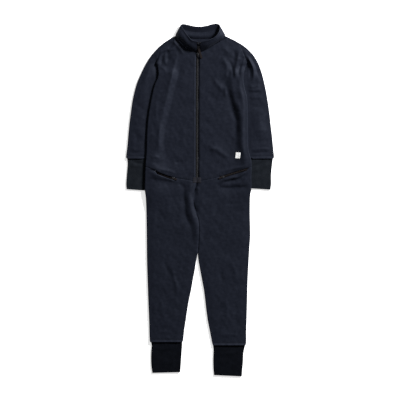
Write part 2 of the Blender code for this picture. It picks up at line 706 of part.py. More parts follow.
def build_sleeves():
    for side in ("right", "left"):
        flat_tube(
            f"sleeve_{side}", SLEEVE[side], EDGE_ROLL, FLEECE, FLEECE_COLOUR, 8,
            hidden_reach=TUCK[side], wrinkle=sleeve_wrinkles,
        )
        flat_tube(
            f"arm_cuff_{side}", ARM_CUFF[side], KNIT_ROLL, KNIT, KNIT_COLOUR, 6, hidden_reach=TUCK[side]
        )
        flat_tube(f"leg_cuff_{side}", LEG_CUFF[side], KNIT_ROLL, KNIT, KNIT_COLOUR, 6)


def on_floor(place):
    return Vector((place.x, place.y, max(place.z, 0.0)))


def collar_swell(height):
    """Share of the swell: the band rises steeply from its foot seam and lies flatter above the crest."""
    if height < COLLAR_CREST:
        return sin(pi / 2 * height / COLLAR_CREST)
    return 0.5 + 0.5 * cos(pi * (height - COLLAR_CREST) / (1 - COLLAR_CREST))


def build_collar():
    """Doubled band. It stands up at the front, lies flat at the back and thins to a fold at its top edge."""
    heights = ((0.0, 1.0), (0.18, 1.0), (COLLAR_CREST, 1.0), (0.65, 1.0), (0.95, 0.9), (1.0, 0.55))
    stations = [(i, *row) for i, row in enumerate(COLLAR)]

    def middle(share, height):
        at = share * (len(COLLAR) - 1)
        value = [smooth_value([(s[0], s[k]) for s in stations], at) for k in range(1, 8)]
        swell = max(value[6], 0.0) * collar_swell(height)
        return Vector(value[:3]).lerp(Vector(value[3:6]), height) + Vector((0, 0, swell))

    outer, inner = [], []
    for i in range(COLLAR_SPANS + 1):
        share = i / COLLAR_SPANS
        outer_row, inner_row = [], []
        for height, thickness in heights:
            place = middle(share, height)
            along = middle(min(share + 0.006, 1), height) - middle(max(share - 0.006, 0), height)
            up = middle(share, min(height + 0.05, 1)) - middle(share, max(height - 0.05, 0))
            half = up.cross(along).normalized() * COLLAR_WALL / 2 * thickness
            outer_row.append(on_floor(place + half))
            inner_row.append(on_floor(place - half))
        outer.append(outer_row)
        inner.append(inner_row)
    wall("collar", outer, inner, FLEECE_COLOUR, 0.95)


def zip_path():
    """Middle line of the front zip: up the chest, a dip under the collar seam, then up the collar."""
    heights = [ZIP_FOOT_Y + (NECK_DIP_Y - ZIP_FOOT_Y) * i / 9 for i in range(10)]
    heights += [500, 505, 508, 514, 521, 530, 537.5]
    path = []
    for y in heights:
        z = max(-NECK_DIP * ease((y - NECK_DIP_Y) / 8), (y - COLLAR_SLOPE_FOOT_Y) * COLLAR_SLOPE)
        path.append(Vector((smooth_value(ZIP_LINE, y), y, z)))
    return path


def pocket_path(side, outer_end, inner_end):
    """Middle line of a pocket's zip in its slot, with a place at each of the cloth's columns."""
    places = [outer_end, inner_end]
    for x in YOKE_COLUMNS[side]:
        places.append(x)
    for step in side_steps(side):
        places.append(body_edge(side, 100) + (step if side == "right" else -step))
    low, high = min(outer_end, inner_end), max(outer_end, inner_end)
    places = sorted({x for x in places if low <= x <= high}, reverse=side == "left")
    return [Vector((x, smooth_value(YOKE, x) - SEAM_GAP - POCKET_SLOT / 2, 0)) for x in places]


def laid_strip(name, path, half, levels, colour, roughness):
    """Flat bar along a pocket's zip. Its sections are cut along Y and follow the body's lift."""
    layers = ([], [])
    for i, place in enumerate(path):
        along, _, _ = directions(path, i)
        reach = half / abs(along.x)
        for layer, level in zip(layers, levels):
            layer.append([(place.x, y, lift(place.x, y) + level) for y in (place.y - reach, place.y + reach)])
    low, high = layers
    return wall(name, high, low, colour, roughness)


def directions(path, i):
    """Unit vectors at a place on a path: along it, level across it, and square to both."""
    along = (path[min(i + 1, len(path) - 1)] - path[max(i - 1, 0)]).normalized()
    across = along.cross(Vector((0, 0, 1))).normalized()
    return along, across, across.cross(along)


def strip(name, path, sides, levels, colour, roughness):
    """Bar of rectangular section along a path. sides and levels are its limits across and above it."""
    points = []
    for i, place in enumerate(path):
        _, across, up = directions(path, i)
        start, stop = sides(i) if callable(sides) else sides
        low, high = levels
        for side, level in ((start, low), (stop, low), (stop, high), (start, high)):
            points.append(place + across * side + up * level)
    last = len(points) - 4
    faces = [(0, 1, 2, 3), tuple(last + k for k in range(4))]
    for i in range(len(path) - 1):
        for k in range(4):
            a, b = 4 * i + k, 4 * i + (k + 1) % 4
            faces.append((a, b, b + 4, a + 4))
    return closed_mesh(name, points, faces, colour, roughness)


def block(name, low, high, frame, bevel, collection, colour=ZIP_COLOUR, roughness=0.5, metallic=0.0):
    """Box between two corners of a frame, with rounded edges where bevel isn't zero."""
    shape = bmesh.new()
    bmesh.ops.create_cube(shape, size=1)
    size = Vector(high) - Vector(low)
    bmesh.ops.scale(shape, vec=size * MM, verts=shape.verts)
    bmesh.ops.translate(shape, vec=(Vector(high) + Vector(low)) / 2 * MM, verts=shape.verts)
    mesh = bpy.data.meshes.new(name)
    shape.to_mesh(mesh)
    shape.free()
    piece = add_object(name, mesh, colour, roughness, metallic, collection)
    piece.matrix_world = frame
    if bevel:
        soft = piece.modifiers.new("rounded edges", "BEVEL")
        soft.width = bevel * MM
        soft.segments = 2
    return piece


def pin_hole(name, radius, length, frame, height):
    """Cutter for a hole across a slider's bridge."""
    shape = bmesh.new()
    bmesh.ops.create_cone(
        shape, cap_ends=True, segments=16, radius1=radius * MM, radius2=radius * MM, depth=length * MM
    )
    mesh = bpy.data.meshes.new(name)
    shape.to_mesh(mesh)
    shape.free()
    cutter = add_object(name, mesh, ZIP_COLOUR, 0.5, 0.0, CUTTERS)
    turned = Matrix.Rotation(radians(90), 4, "Y")
    cutter.matrix_world = frame @ Matrix.Translation(Vector((0, 0, height)) * MM) @ turned
    return cutter


def combine(piece, other, operation):
    step = piece.modifiers.new(other.name, "BOOLEAN")
    step.operation = operation
    step.object = other


def frame_at(place, x_axis, y_axis, z_axis):
    turn = Matrix((x_axis, y_axis, z_axis)).transposed().to_4x4()
    return Matrix.Translation(place * MM) @ turn


def build_slider(name, path, at, width, length, bridge_length):
    """Slider: a roof and two skirts over the coil, with a pierced bridge. Returns its pin's place."""
    along, across, up = directions(path, at)
    frame = frame_at(path[at], across, along, up)
    half, reach = width / 2, length / 2
    body = block(
        f"{name}_slider", (-half, -reach, COIL_LOW), (half, reach, ROOF_HIGH), frame, 0.7, GARMENT,
        METAL_COLOUR, 0.4, 0.6,
    )
    bridge = block(
        f"{name}_bridge", (-BRIDGE_HALF, -bridge_length / 2, ROOF_HIGH - 0.5),
        (BRIDGE_HALF, bridge_length / 2, ROOF_HIGH + BRIDGE_HIGH), frame, 0.0, CUTTERS,
    )
    groove_half = COIL_WIDTH + SEAM_GAP / 2 + 0.35
    groove = block(
        f"{name}_groove", (-groove_half, -length, COIL_LOW - 2), (groove_half, length, COIL_HIGH + SEAM_GAP),
        frame, 0.0, CUTTERS,
    )
    combine(body, bridge, "UNION")
    combine(body, groove, "DIFFERENCE")
    combine(body, pin_hole(f"{name}_hole", HOLE_RADIUS, 6, frame, ROOF_HIGH + PIN_HIGH), "DIFFERENCE")
    return path[at] + up * (ROOF_HIGH + PIN_HIGH)


def build_pull(name, pin, toward, length, width, window):
    """Pull tab: a plate with a window, whose end bar passes through the slider's bridge.

    Its origin is on the bar and its X axis is the hinge's.
    """
    y_axis = (toward - pin).normalized()
    x_axis = y_axis.cross(Vector((0, 0, 1))).normalized()
    frame = frame_at(pin, x_axis, y_axis, x_axis.cross(y_axis))
    half = width / 2
    plate = block(
        f"{name}_pull", (-half, -BAR_HALF, -PULL_THICK / 2), (half, length, PULL_THICK / 2), frame, 0.3,
        GARMENT, ZIP_COLOUR, 0.45,
    )
    gap_half, gap_length = window
    opening = block(
        f"{name}_window", (-gap_half, BAR_HALF, -3), (gap_half, gap_length, 3), frame, 0.0, CUTTERS
    )
    combine(plate, opening, "DIFFERENCE")


def build_front_zip():
    path = zip_path()

    def apart(i):
        """Half the distance between the two coils: closed below the slider, open above it."""
        return SEAM_GAP / 2 + ZIP_SPREAD * clamp01((path[i].y - 531) / 6.5)

    for side, sign in (("right", -1), ("left", 1)):
        def tape_sides(i, sign=sign):
            return sorted((sign * apart(i), sign * TAPE_HALF))

        def coil_sides(i, sign=sign):
            return sorted((sign * apart(i), sign * (apart(i) + COIL_WIDTH)))

        strip(f"zip_tape_{side}", path, tape_sides, (TAPE_LOW, TAPE_LOW + TAPE), ZIP_COLOUR, 0.8)
        strip(f"zip_coil_{side}", coil_path(path), coil_sides, (COIL_LOW, COIL_HIGH), ZIP_COLOUR, 0.5)
    slider_at = min(range(len(path)), key=lambda i: abs(path[i].y - SLIDER_Y))
    pin = build_slider("zip", path, slider_at, 9.4, 11.5, 4.6)
    build_pull("zip", pin, Vector(PULL_END), PULL_LENGTH, 6.4, (2.15, 4.6))


def coil_path(path):
    """The coil starts above the yoke seam, higher than its tape does."""
    first = path[0].copy()
    first.y = COIL_FOOT_Y
    return [first, *path[1:]]


def build_pocket_zips():
    for side, inward in (("right", 1), ("left", -1)):
        outer_closed, outer_open, inner_open, inner_closed = POCKET[side]
        path = pocket_path(side, outer_closed, inner_closed + 3 * inward)
        laid_strip(
            f"pocket_tape_{side}", path, POCKET_TAPE_HALF, (TAPE_LOW, TAPE_LOW + TAPE), ZIP_COLOUR, 0.8
        )
        path = pocket_path(side, outer_open - 0.5 * inward, inner_open)
        half = COIL_WIDTH + SEAM_GAP / 2
        laid_strip(f"pocket_coil_{side}", path, half, (COIL_LOW, COIL_HIGH), ZIP_COLOUR, 0.5)
        slider_x = inner_open - POCKET_SLIDER_IN * inward
        path = pocket_path(side, slider_x - 6 * inward, slider_x + 6 * inward)
        path = [path[0], path[0].lerp(path[-1], 0.5), path[-1]]
        path[1].y = smooth_value(YOKE, path[1].x) - SEAM_GAP - POCKET_SLOT / 2
        pin = build_slider(f"pocket_{side}", path, 1, 7.4, 9.0, 4.4)
        along, _, _ = directions(path, 1)
        build_pull(f"pocket_{side}", pin, pin + along, 14.0, 5.4, (1.5, 4.0))


def front_surface(x, y):
    """Height of the front cloth away from its edges."""
    return lift(x, y) + 2 * EDGE_ROLL + LOFT + folds(x, y)


def on_front(name, middle, size, turn, spans, thickness, colour, roughness):
    """Small flat piece on the front: a grid of the panel's own points, moved out."""
    layers = ([], [])
    for r in range(spans + 1):
        rows = ([], [])
        for c in range(spans + 1):
            across, up = (c / spans - 0.5) * size[0], (r / spans - 0.5) * size[1]
            x = middle[0] + across * cos(turn) - up * sin(turn)
            y = middle[1] + across * sin(turn) + up * cos(turn)
            z = front_surface(x, y) + PIECE_CLEAR
            rows[0].append((x, y, z + thickness))
            rows[1].append((x, y, z))
        for layer, row in zip(layers, rows):
            layer.append(row)
    return wall(name, *layers, colour, roughness)


def main():
    build_back()
    build_fronts()
    build_trousers()
    build_sleeves()
    build_collar()
    build_front_zip()
    build_pocket_zips()
    on_front("zip_end_patch", ZIP_PATCH_MIDDLE, ZIP_PATCH_SIZE, 0.0, 2, 1.1, ZIP_COLOUR, 0.9)
    on_front("chest_tab", TAB_MIDDLE, TAB_SIZE, TAB_TURN, 2, 1.0, TAB_COLOUR, 0.8)


for old in list(bpy.data.objects):
    bpy.data.objects.remove(old, do_unlink=True)
GARMENT = bpy.data.collections.new("onesie_pajama")
CUTTERS = bpy.data.collections.new("cutters")
for collection in (GARMENT, CUTTERS):
    bpy.context.scene.collection.children.link(collection)
ROOT = bpy.data.objects.new("onesie", None)
GARMENT.objects.link(ROOT)
main()
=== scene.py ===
from math import cos, pi, radians, sin

import bmesh
import bpy
import numpy as np
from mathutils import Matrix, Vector


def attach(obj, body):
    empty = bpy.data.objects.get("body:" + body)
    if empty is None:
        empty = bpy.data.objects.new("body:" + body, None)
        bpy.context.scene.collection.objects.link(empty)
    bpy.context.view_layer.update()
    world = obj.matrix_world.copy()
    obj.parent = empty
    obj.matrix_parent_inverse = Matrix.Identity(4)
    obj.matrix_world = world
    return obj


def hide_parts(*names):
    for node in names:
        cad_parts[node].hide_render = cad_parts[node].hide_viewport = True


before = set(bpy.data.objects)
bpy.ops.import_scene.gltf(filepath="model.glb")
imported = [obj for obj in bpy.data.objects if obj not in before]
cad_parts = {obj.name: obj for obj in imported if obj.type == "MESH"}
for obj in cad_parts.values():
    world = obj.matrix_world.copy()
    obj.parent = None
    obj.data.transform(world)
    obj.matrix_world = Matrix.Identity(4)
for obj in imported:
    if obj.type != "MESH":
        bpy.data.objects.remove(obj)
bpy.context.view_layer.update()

# The looks of a child's one-piece fleece pyjama, laid flat on its back with its front up. Each cloth
# solid of the frame is replaced by a thin shell on the same form, with its creases, seams and stitching.
# Tables are in millimetres: X to the wearer's left, Y towards the neck, Z up from the floor. "right" and
# "left" are the wearer's.

MM = 0.001
BODY = "garment"
SIDES = ("right", "left")
OUTWARD = {"right": -1, "left": 1}  # direction of each side along X

# Cloth and seams
FLEECE = 2.2
KNIT = 1.6
EDGE_ROLL = 3.0  # radius of a rolled side edge
KNIT_ROLL = 2.3
SEAM_GAP = 0.3  # open width of a seam, so that no two pieces touch
LOFT = 1.0  # how much further apart the two layers lie away from the edges
LOFT_REACH = 22.0
EDGE_FORM = 0.3  # share of the creases' height at a rolled edge
SEAM_DIP = 1.5  # how far cloth is pulled down at a seam
SEAM_REACH = 3.6
SEAM_CURVE = 1.5  # how steeply that dip begins
ARMHOLE_SEAM = 0.35  # share of the full dip at the armhole, and on the garment's back
BACK_SEAM = 0.5
ZIP_SEAM = {"right": 1.5, "left": 1.2}
HEM_DEPTH = 8.0
HEM_RISE = 3.0
HEM_GROOVE = 0.5  # depth and width of the groove at the stitching
HEM_GROOVE_WIDTH = 1.3
HEM_ROLL = 1.4  # how far a hem's end rolls under, and over what length
HEM_ROUND = 2.4
HEM_CORNER = 3.0  # how far from a side edge a trouser hem reaches its full height, and a sleeve's
HEM_END = 4.0
DEEPEST = -2.5  # where the front cloth meets the back cloth beneath it
BACK_UNEVENNESS = 0.35
TUBE_UNEVENNESS = 0.6
SOFT_BENEATH = 0.3  # share of the creases' height on the side that lies on the floor
SOFT_RIM = 0.125  # share of that side's width over which they begin at each edge

# Creases: how far one is felt, in half widths, the share of its length over which each end runs out, how
# squarely its sides fall, and how its height varies along it and from one to the next
CREASE_REACH = 2.6
CREASE_ENDS = 0.3
CREASE_BLUNTNESS = 1.7
CREASE_MEAN = 0.95
CREASE_SWING = 0.15
CREASE_TURN = 7
CREASE_SHIFT = 1.7

# Soft unevenness: length and size of its waves, in several directions each
WAVES = ((120, 0.35), (70, 0.3), (42, 0.2), (26, 0.13), (17, 0.09))
WAVES_EACH = 5
WAVE_STRETCH = (0.75, 1.3)
WAVE_CALM = 2.2  # the sum of a group's waves is divided by this
WAVE_SEED = 40

# Spacing of a shell's points: in general, round a rolled edge in degrees, and from a seam or a top edge
STEP = 2.6
ROLL_ANGLES = (0, 14, 28, 42, 56, 73, 90)
ROLL_ROWS = 11
SEAM_STEPS = np.array((0, 0.7, 1.5, 2.4, 3.6))
TOP_STEPS = np.array((0, 0.6, 1.3, 2.1, 3.1, 4.2))
EDGE_SEARCH = 60  # steps of the search for the heights of a panel's low and high edges
SHELL_SHARP = 55  # degrees from which an edge stays sharp
ROD_SHARP = 80

# How the body's sides ride on the sleeves
SIDE_LIFT = 6.6  # how high they ride there
RAMP = ((60, 84.0), (120, 64.0), (190, 26.0))  # width of the ramp at each height y
RAMP_INSET = {  # distance from the body's edge to the middle of the ramp, at each height y
    "right": ((28, 58), (100, 56), (163, 48), (215, 48), (290, 57), (350, 61), (440, 57)),
    "left": ((28, 36), (100, 35), (200, 33), (270, 34), (310, 45), (355, 54), (400, 50), (440, 46)),
}
TUCK = {"right": 28.0, "left": 12.5}  # width of a sleeve that lies hidden under the body
LIFT_LOW = (-46.0, 34.0)  # heights y over which the lift begins, and over which it ends
LIFT_HIGH = (430.0, 456.0)
ROLL_BLEND = 10.0  # length over which a rolled edge turns into a sewn one
NECK_BLEND = 6.0
TUCK_START = 30.0  # length of a sleeve over which its hidden part gets its full width
UNDERARM = {"right": (-141.0, 438.0), "left": (148.0, 442.0)}  # where the body presses the sleeve down
PRESS_DEPTH = 4.0  # how far, and how wide round that place
PRESS_WIDTH = 17.0
PRESS_FLAT = 14.0  # how far from the sleeve's inner edge the press is full, and over what width it fades
PRESS_FADE = 22.0
HIDDEN_BLEND = 8.0  # over what width the creases end at the hidden part, and what share lies in that part
HIDDEN_START = 0.2

# Front zip
ZIP_SLOT_HALF = 5.5  # half the distance between the fronts' edges
TAPE_HALF = 13.0
TAPE_LOW = 2.9  # height of a tape's underside, and its thickness
TAPE = 0.8
COIL_WIDTH = 2.75
COIL_CLOSING = 0.45  # how far the turns reach past their row's edge
COIL_THICK = 1.25  # size of a turn along the zip, and its slope
COIL_LEAN = 0.10
COIL_LOW = TAPE_LOW + TAPE
COIL_HIGH = COIL_LOW + 1.8
COIL_PITCH = 1.8
ZIP_FOOT_Y = 58.0
COIL_FOOT_Y = 68.0
NECK_DIP_Y = 492.0  # from here the zip dips by a little over this length
NECK_DIP_LENGTH = 8.0
NECK_DIP = 0.35
COLLAR_SLOPE_FOOT_Y = 508.4  # from here it climbs with the collar
COLLAR_SLOPE = 0.6
ZIP_TOP_Y = 537.5
ZIP_SPREAD = 2.4  # how far each side stands off at the top, where it begins and over what length
ZIP_SPREAD_Y = 527.0
ZIP_SPREAD_LENGTH = 11.0
ZIP_STEP = 4.0

# Pocket zips, stitching and seam allowances
POCKET_SLOT = 9.0  # width of a pocket's open slot
POCKET_TAPE_HALF = 9.5
POCKET_TAPE_PAST = 3.0  # how far the tape reaches past the slot's inner end
POCKET_STEP = 3.0
PATCH_POINTS = 15
PATCH_RIM = 0.55  # share of a patch's thickness at its rim
PATCH_RIM_WIDTH = 1.2
STITCH_PITCH = 3.0
STITCH_SIZE = (2.2, 0.55, 0.55)
STITCH_CLEAR = 0.05
ZIP_STITCH_GAP = 6.5  # distance of the stitching from the zip's edge, the yoke seam and the leg's hem
YOKE_STITCH_GAPS = (4.5, 7.0)
HEM_STITCH_GAPS = (9.0, 12.0)
ZIP_STITCH_YS = range(80, 498, 20)
YOKE_STITCH_XS = {"right": (-32, -156), "left": (16, 144)}
HEM_STITCH_INSET = 8
ALLOWANCE_HALF = 5.0

CROTCH_Y = -183.0
INSEAM_ROLL_Y = -177.0

# Outline of the body: x of the edge at each height y, from the leg's hem to the shoulder point
BODY_EDGE = {
    "right": (
        (-483, -169), (-477, -171), (-409, -173.2), (-341, -176), (-273, -178.3), (-205, -180.4),
        (-154, -181), (-86, -181.7), (-18, -183.1), (14, -185), (36, -188), (74, -187.4),
        (113, -186), (172, -182.1), (235, -180), (296, -174), (366, -161), (393, -153.5),
        (414, -144.5), (431, -141.5), (446, -143.5), (462, -148.3),
    ),
    "left": (
        (-494, 154.5), (-486, 156.8), (-443, 157), (-409, 158.3), (-341, 160.2), (-273, 162),
        (-205, 165.4), (-154, 168.5), (-120, 170.6), (-52, 169.5), (14, 170.2), (36, 174), (74, 174.3),
        (131, 174.3), (172, 164.6), (235, 162), (296, 162), (349, 159.6), (382, 151.5),
        (415, 147.8), (440, 151.5), (469, 159),
    ),
}
SHOULDER_POINT = {"right": (527.0, -132.0), "left": (533.0, 134.0)}
INSEAM = {
    "right": (
        (-483, -60.5), (-477, -57.3), (-443, -53.9), (-409, -48.5), (-375, -43.7), (-341, -37.9),
        (-307, -30.4), (-273, -24.7), (-239, -17.9), (-205, -13.2), (-183, -8.3),
    ),
    "left": (
        (-494, 43.8), (-486, 41), (-443, 32.8), (-409, 26), (-375, 21.3), (-341, 17.5),
        (-307, 13.4), (-273, 7), (-239, 0.5), (-205, -5.6), (-183, -7.7),
    ),
}
CENTRE_SEAM = (
    (-183, -8), (-136, -4.6), (-85, -3.6), (-64, -6.6), (-46, -13), (-17, -20), (9, -24),
    (32, -18.5), (62, -10), (80, -10),
)
BACK_SEAM_X = -8.0
ZIP_LINE = ((40, -10.0), (200, -10.0), (460, -9.0), (504, -7.0), (521, -5.1), (540, -3.0))
YOKE = (
    (-190, 114), (-178, 111), (-155, 101.5), (-118, 87), (-82, 75.5), (-68, 73), (-24, 65.5),
    (-20, 65.5), (0, 65.5), (4, 65.5), (27, 70.5), (59, 77.5), (80, 84.5), (120, 97.5), (163, 110),
    (178, 114.5),
)
POCKET = {  # x where a pocket's slot is closed, open, open and closed, from its outer end inwards
    "right": (-153.3, -146.3, -87, -83),
    "left": (165.6, 156.9, 72, 68),
}
WAIST_Y = 100.0
FRONT_TOP = (
    (-148, 516), (-132, 527.5), (-118, 538), (-97, 551.5), (-87, 556), (-79.5, 545.2),
    (-63.5, 532.4), (-48, 516.2), (-29.5, 507), (-13, 502.6), (-2, 502.6), (9.5, 506), (24, 513.2),
    (44.5, 525.8), (63, 536.6), (79, 545.2), (89, 556), (100, 551), (118, 542.5), (134, 533),
    (150, 522),
)
BACK_TOP = (
    (-148, 516), (-132, 527.5), (-118, 538), (-97, 551.5), (-87, 556.5), (-76, 561.2), (-50, 555.4),
    (-24, 551.2), (1, 550.2), (27, 551.2), (52, 555.4), (78, 561.2), (89, 556.5), (100, 551),
    (118, 542.5), (134, 533), (150, 522),
)
NECK_POINT = {"right": -87.0, "left": 89.0}
SHOULDER_SLOPE = radians(34)

# Sleeves and cuffs: outer x, outer y, inner x, inner y and loft of each section
SLEEVE = {
    "right": (
        (-132.3, 527.4, -148.6, 461.9, 0.6), (-149, 511, -146.6, 456, 1.4),
        (-164, 493.5, -143, 448, 1.8), (-178, 473.5, -139.5, 437, 2),
        (-190.5, 451, -137.5, 423, 2), (-202, 427, -137.5, 406, 1.8),
        (-213.5, 400.5, -139, 386, 1.5), (-222, 372, -141.5, 361, 1.4),
        (-229.5, 338, -143.5, 330, 1.2), (-235, 300, -147, 294, 1.3),
        (-240, 262, -150.6, 256, 1.1), (-243.5, 226, -152.4, 221, 1),
        (-247, 184, -154, 181, 1), (-251, 152, -156.5, 150, 1.2),
        (-251.4, 144.5, -158.5, 143.5, 1), (-248, 140.4, -165, 139.8, -1.2),
    ),
    "left": (
        (134.4, 533.2, 159.4, 468.6, 0.6), (152, 521.5, 156.5, 463, 1.4),
        (168, 507, 152.5, 455, 1.8), (182, 491.5, 149, 446, 2),
        (194.5, 471, 146, 435, 2), (204.5, 448, 143, 422, 1.8),
        (212.5, 423, 141.5, 406, 1.6), (220, 392, 142, 382, 1.4),
        (226.5, 359, 147, 350, 1.3), (232, 324, 149, 318, 1.2),
        (236.7, 290, 149.8, 286, 1.2), (240.5, 254, 149.8, 251, 1),
        (244.8, 218, 150.2, 216, 1), (248, 184, 151.8, 182, 1),
        (251.4, 152, 157.5, 150.5, 1.2), (251.4, 144.5, 159, 143.5, 1),
        (248, 140.4, 164, 139.8, -1.2),
    ),
}
ARM_CUFF = {
    "right": (
        (-247.6, 140, -165.2, 139.4, 0), (-246, 124, -166.5, 122.5, 0.5),
        (-247.4, 104, -168, 101.5, 0.4), (-249.6, 78, -170, 74.5, 0.3),
        (-251, 52, -172, 48, 0.3), (-249.4, 36.9, -172, 31.2, 0.2),
    ),
    "left": (
        (247.6, 140, 164.2, 139.4, 0), (245.2, 122, 165.5, 121, 0.5),
        (243, 100.5, 164.5, 99.5, 0.4), (241.6, 80, 163.5, 79, 0.3),
        (241.7, 54, 163.2, 55, 0.3), (239.4, 35.4, 163.5, 40.2, 0.2),
    ),
}
LEG_CUFF = {
    "right": (
        (-166.6, -483.4, -60.6, -483.4, 0), (-164.3, -495, -60.9, -495, 0.5),
        (-165.9, -513, -62.2, -513, 0.4), (-166.5, -545, -64.4, -545, 0.3),
        (-164.8, -570, -66, -568, 0.3), (-162, -587.4, -67.5, -585, 0.2),
    ),
    "left": (
        (153.2, -494.4, 44.2, -494.4, 0), (149.6, -509, 45.8, -509, 0.5),
        (146.9, -528, 45.2, -528, 0.4), (146.2, -548, 44.8, -548, 0.3),
        (143.8, -575, 45.6, -574, 0.3), (141.6, -599.2, 47.5, -594.9, 0.2),
    ),
}

# Collar: foot and top of its middle surface at each station, from the right front edge round the back
COLLAR_WALL = 3.6
COLLAR_CREST = 0.36  # share of the collar's height where it stands out the most
COLLAR_CURL = 4.5  # how far the lying back's top edge curls up
COLLAR_FOOT_RISE = 2.2  # how far the lying back rises near its foot
COLLAR_ROUND = 0.94  # share of the height where the top edge starts to round over
COLLAR_ROUND_STEPS = (0.965, 0.985, 0.996, 1.0)
COLLAR_TIP = 0.12  # share of the wall left at the top edge
COLLAR_FOOT_SEAM = (0.45, 0.09)  # share of the wall pressed away at the foot, up to this share of the height
COLLAR_GROOVE = (0.28, 0.52, 0.05)  # depth, place and spread of the groove inside, as shares
COLLAR_WAVES = 1.6  # its unevenness is this much shorter than the body's
COLLAR_UNEVENNESS = 0.5
COLLAR_COLUMNS = 200
COLLAR_ROWS = 22
COLLAR_TALL = 40.0
COLLAR_STANDS = 6.0  # height of the top over the foot from which the band counts as standing
COLLAR = (
    # foot x, y, z, top x, y, z, and how far its low part stands above the straight line between them
    (-12.6, 504, 6.9, -8.8, 538.5, 28, 0.5),
    (-29, 508.5, 6.9, -27, 542.5, 29, 6),
    (-47.4, 517.7, 6.9, -40, 556, 26.5, 9),
    (-63, 534, 6.8, -51.5, 572, 21.5, 9.5),
    (-78, 547.5, 6.6, -58.8, 585, 15, 7.5),
    (-82.6, 559.6, 4.2, -64, 595, 8.2, 3),
    (-76, 561.6, 1.8, -56, 598, 2.4, 0),
    (-50, 554.6, 1.8, -40, 595.2, 1.8, 0),
    (-24, 550, 1.8, -20, 590.6, 1.8, 0),
    (1, 549, 1.8, 1, 589.2, 1.8, 0),
    (27, 550, 1.8, 24, 592.8, 1.8, 0),
    (52, 554.6, 1.8, 42, 597.8, 1.8, 0),
    (78, 561.6, 1.8, 57, 599, 2.4, 0),
    (84.8, 559.6, 4.2, 64.4, 595, 9, 2.5),
    (78, 547.6, 6.6, 66.4, 583, 17, 4.5),
    (62.5, 538.4, 6.8, 64, 571, 25, 5.5),
    (44, 527.5, 6.9, 54.5, 556, 29, 6),
    (23.5, 515, 6.9, 38, 545.5, 30, 6),
    (9, 507.6, 6.9, 20, 540.8, 29.5, 3.5),
    (-1.4, 504, 6.9, 2.6, 538.5, 28, 0.5),
)

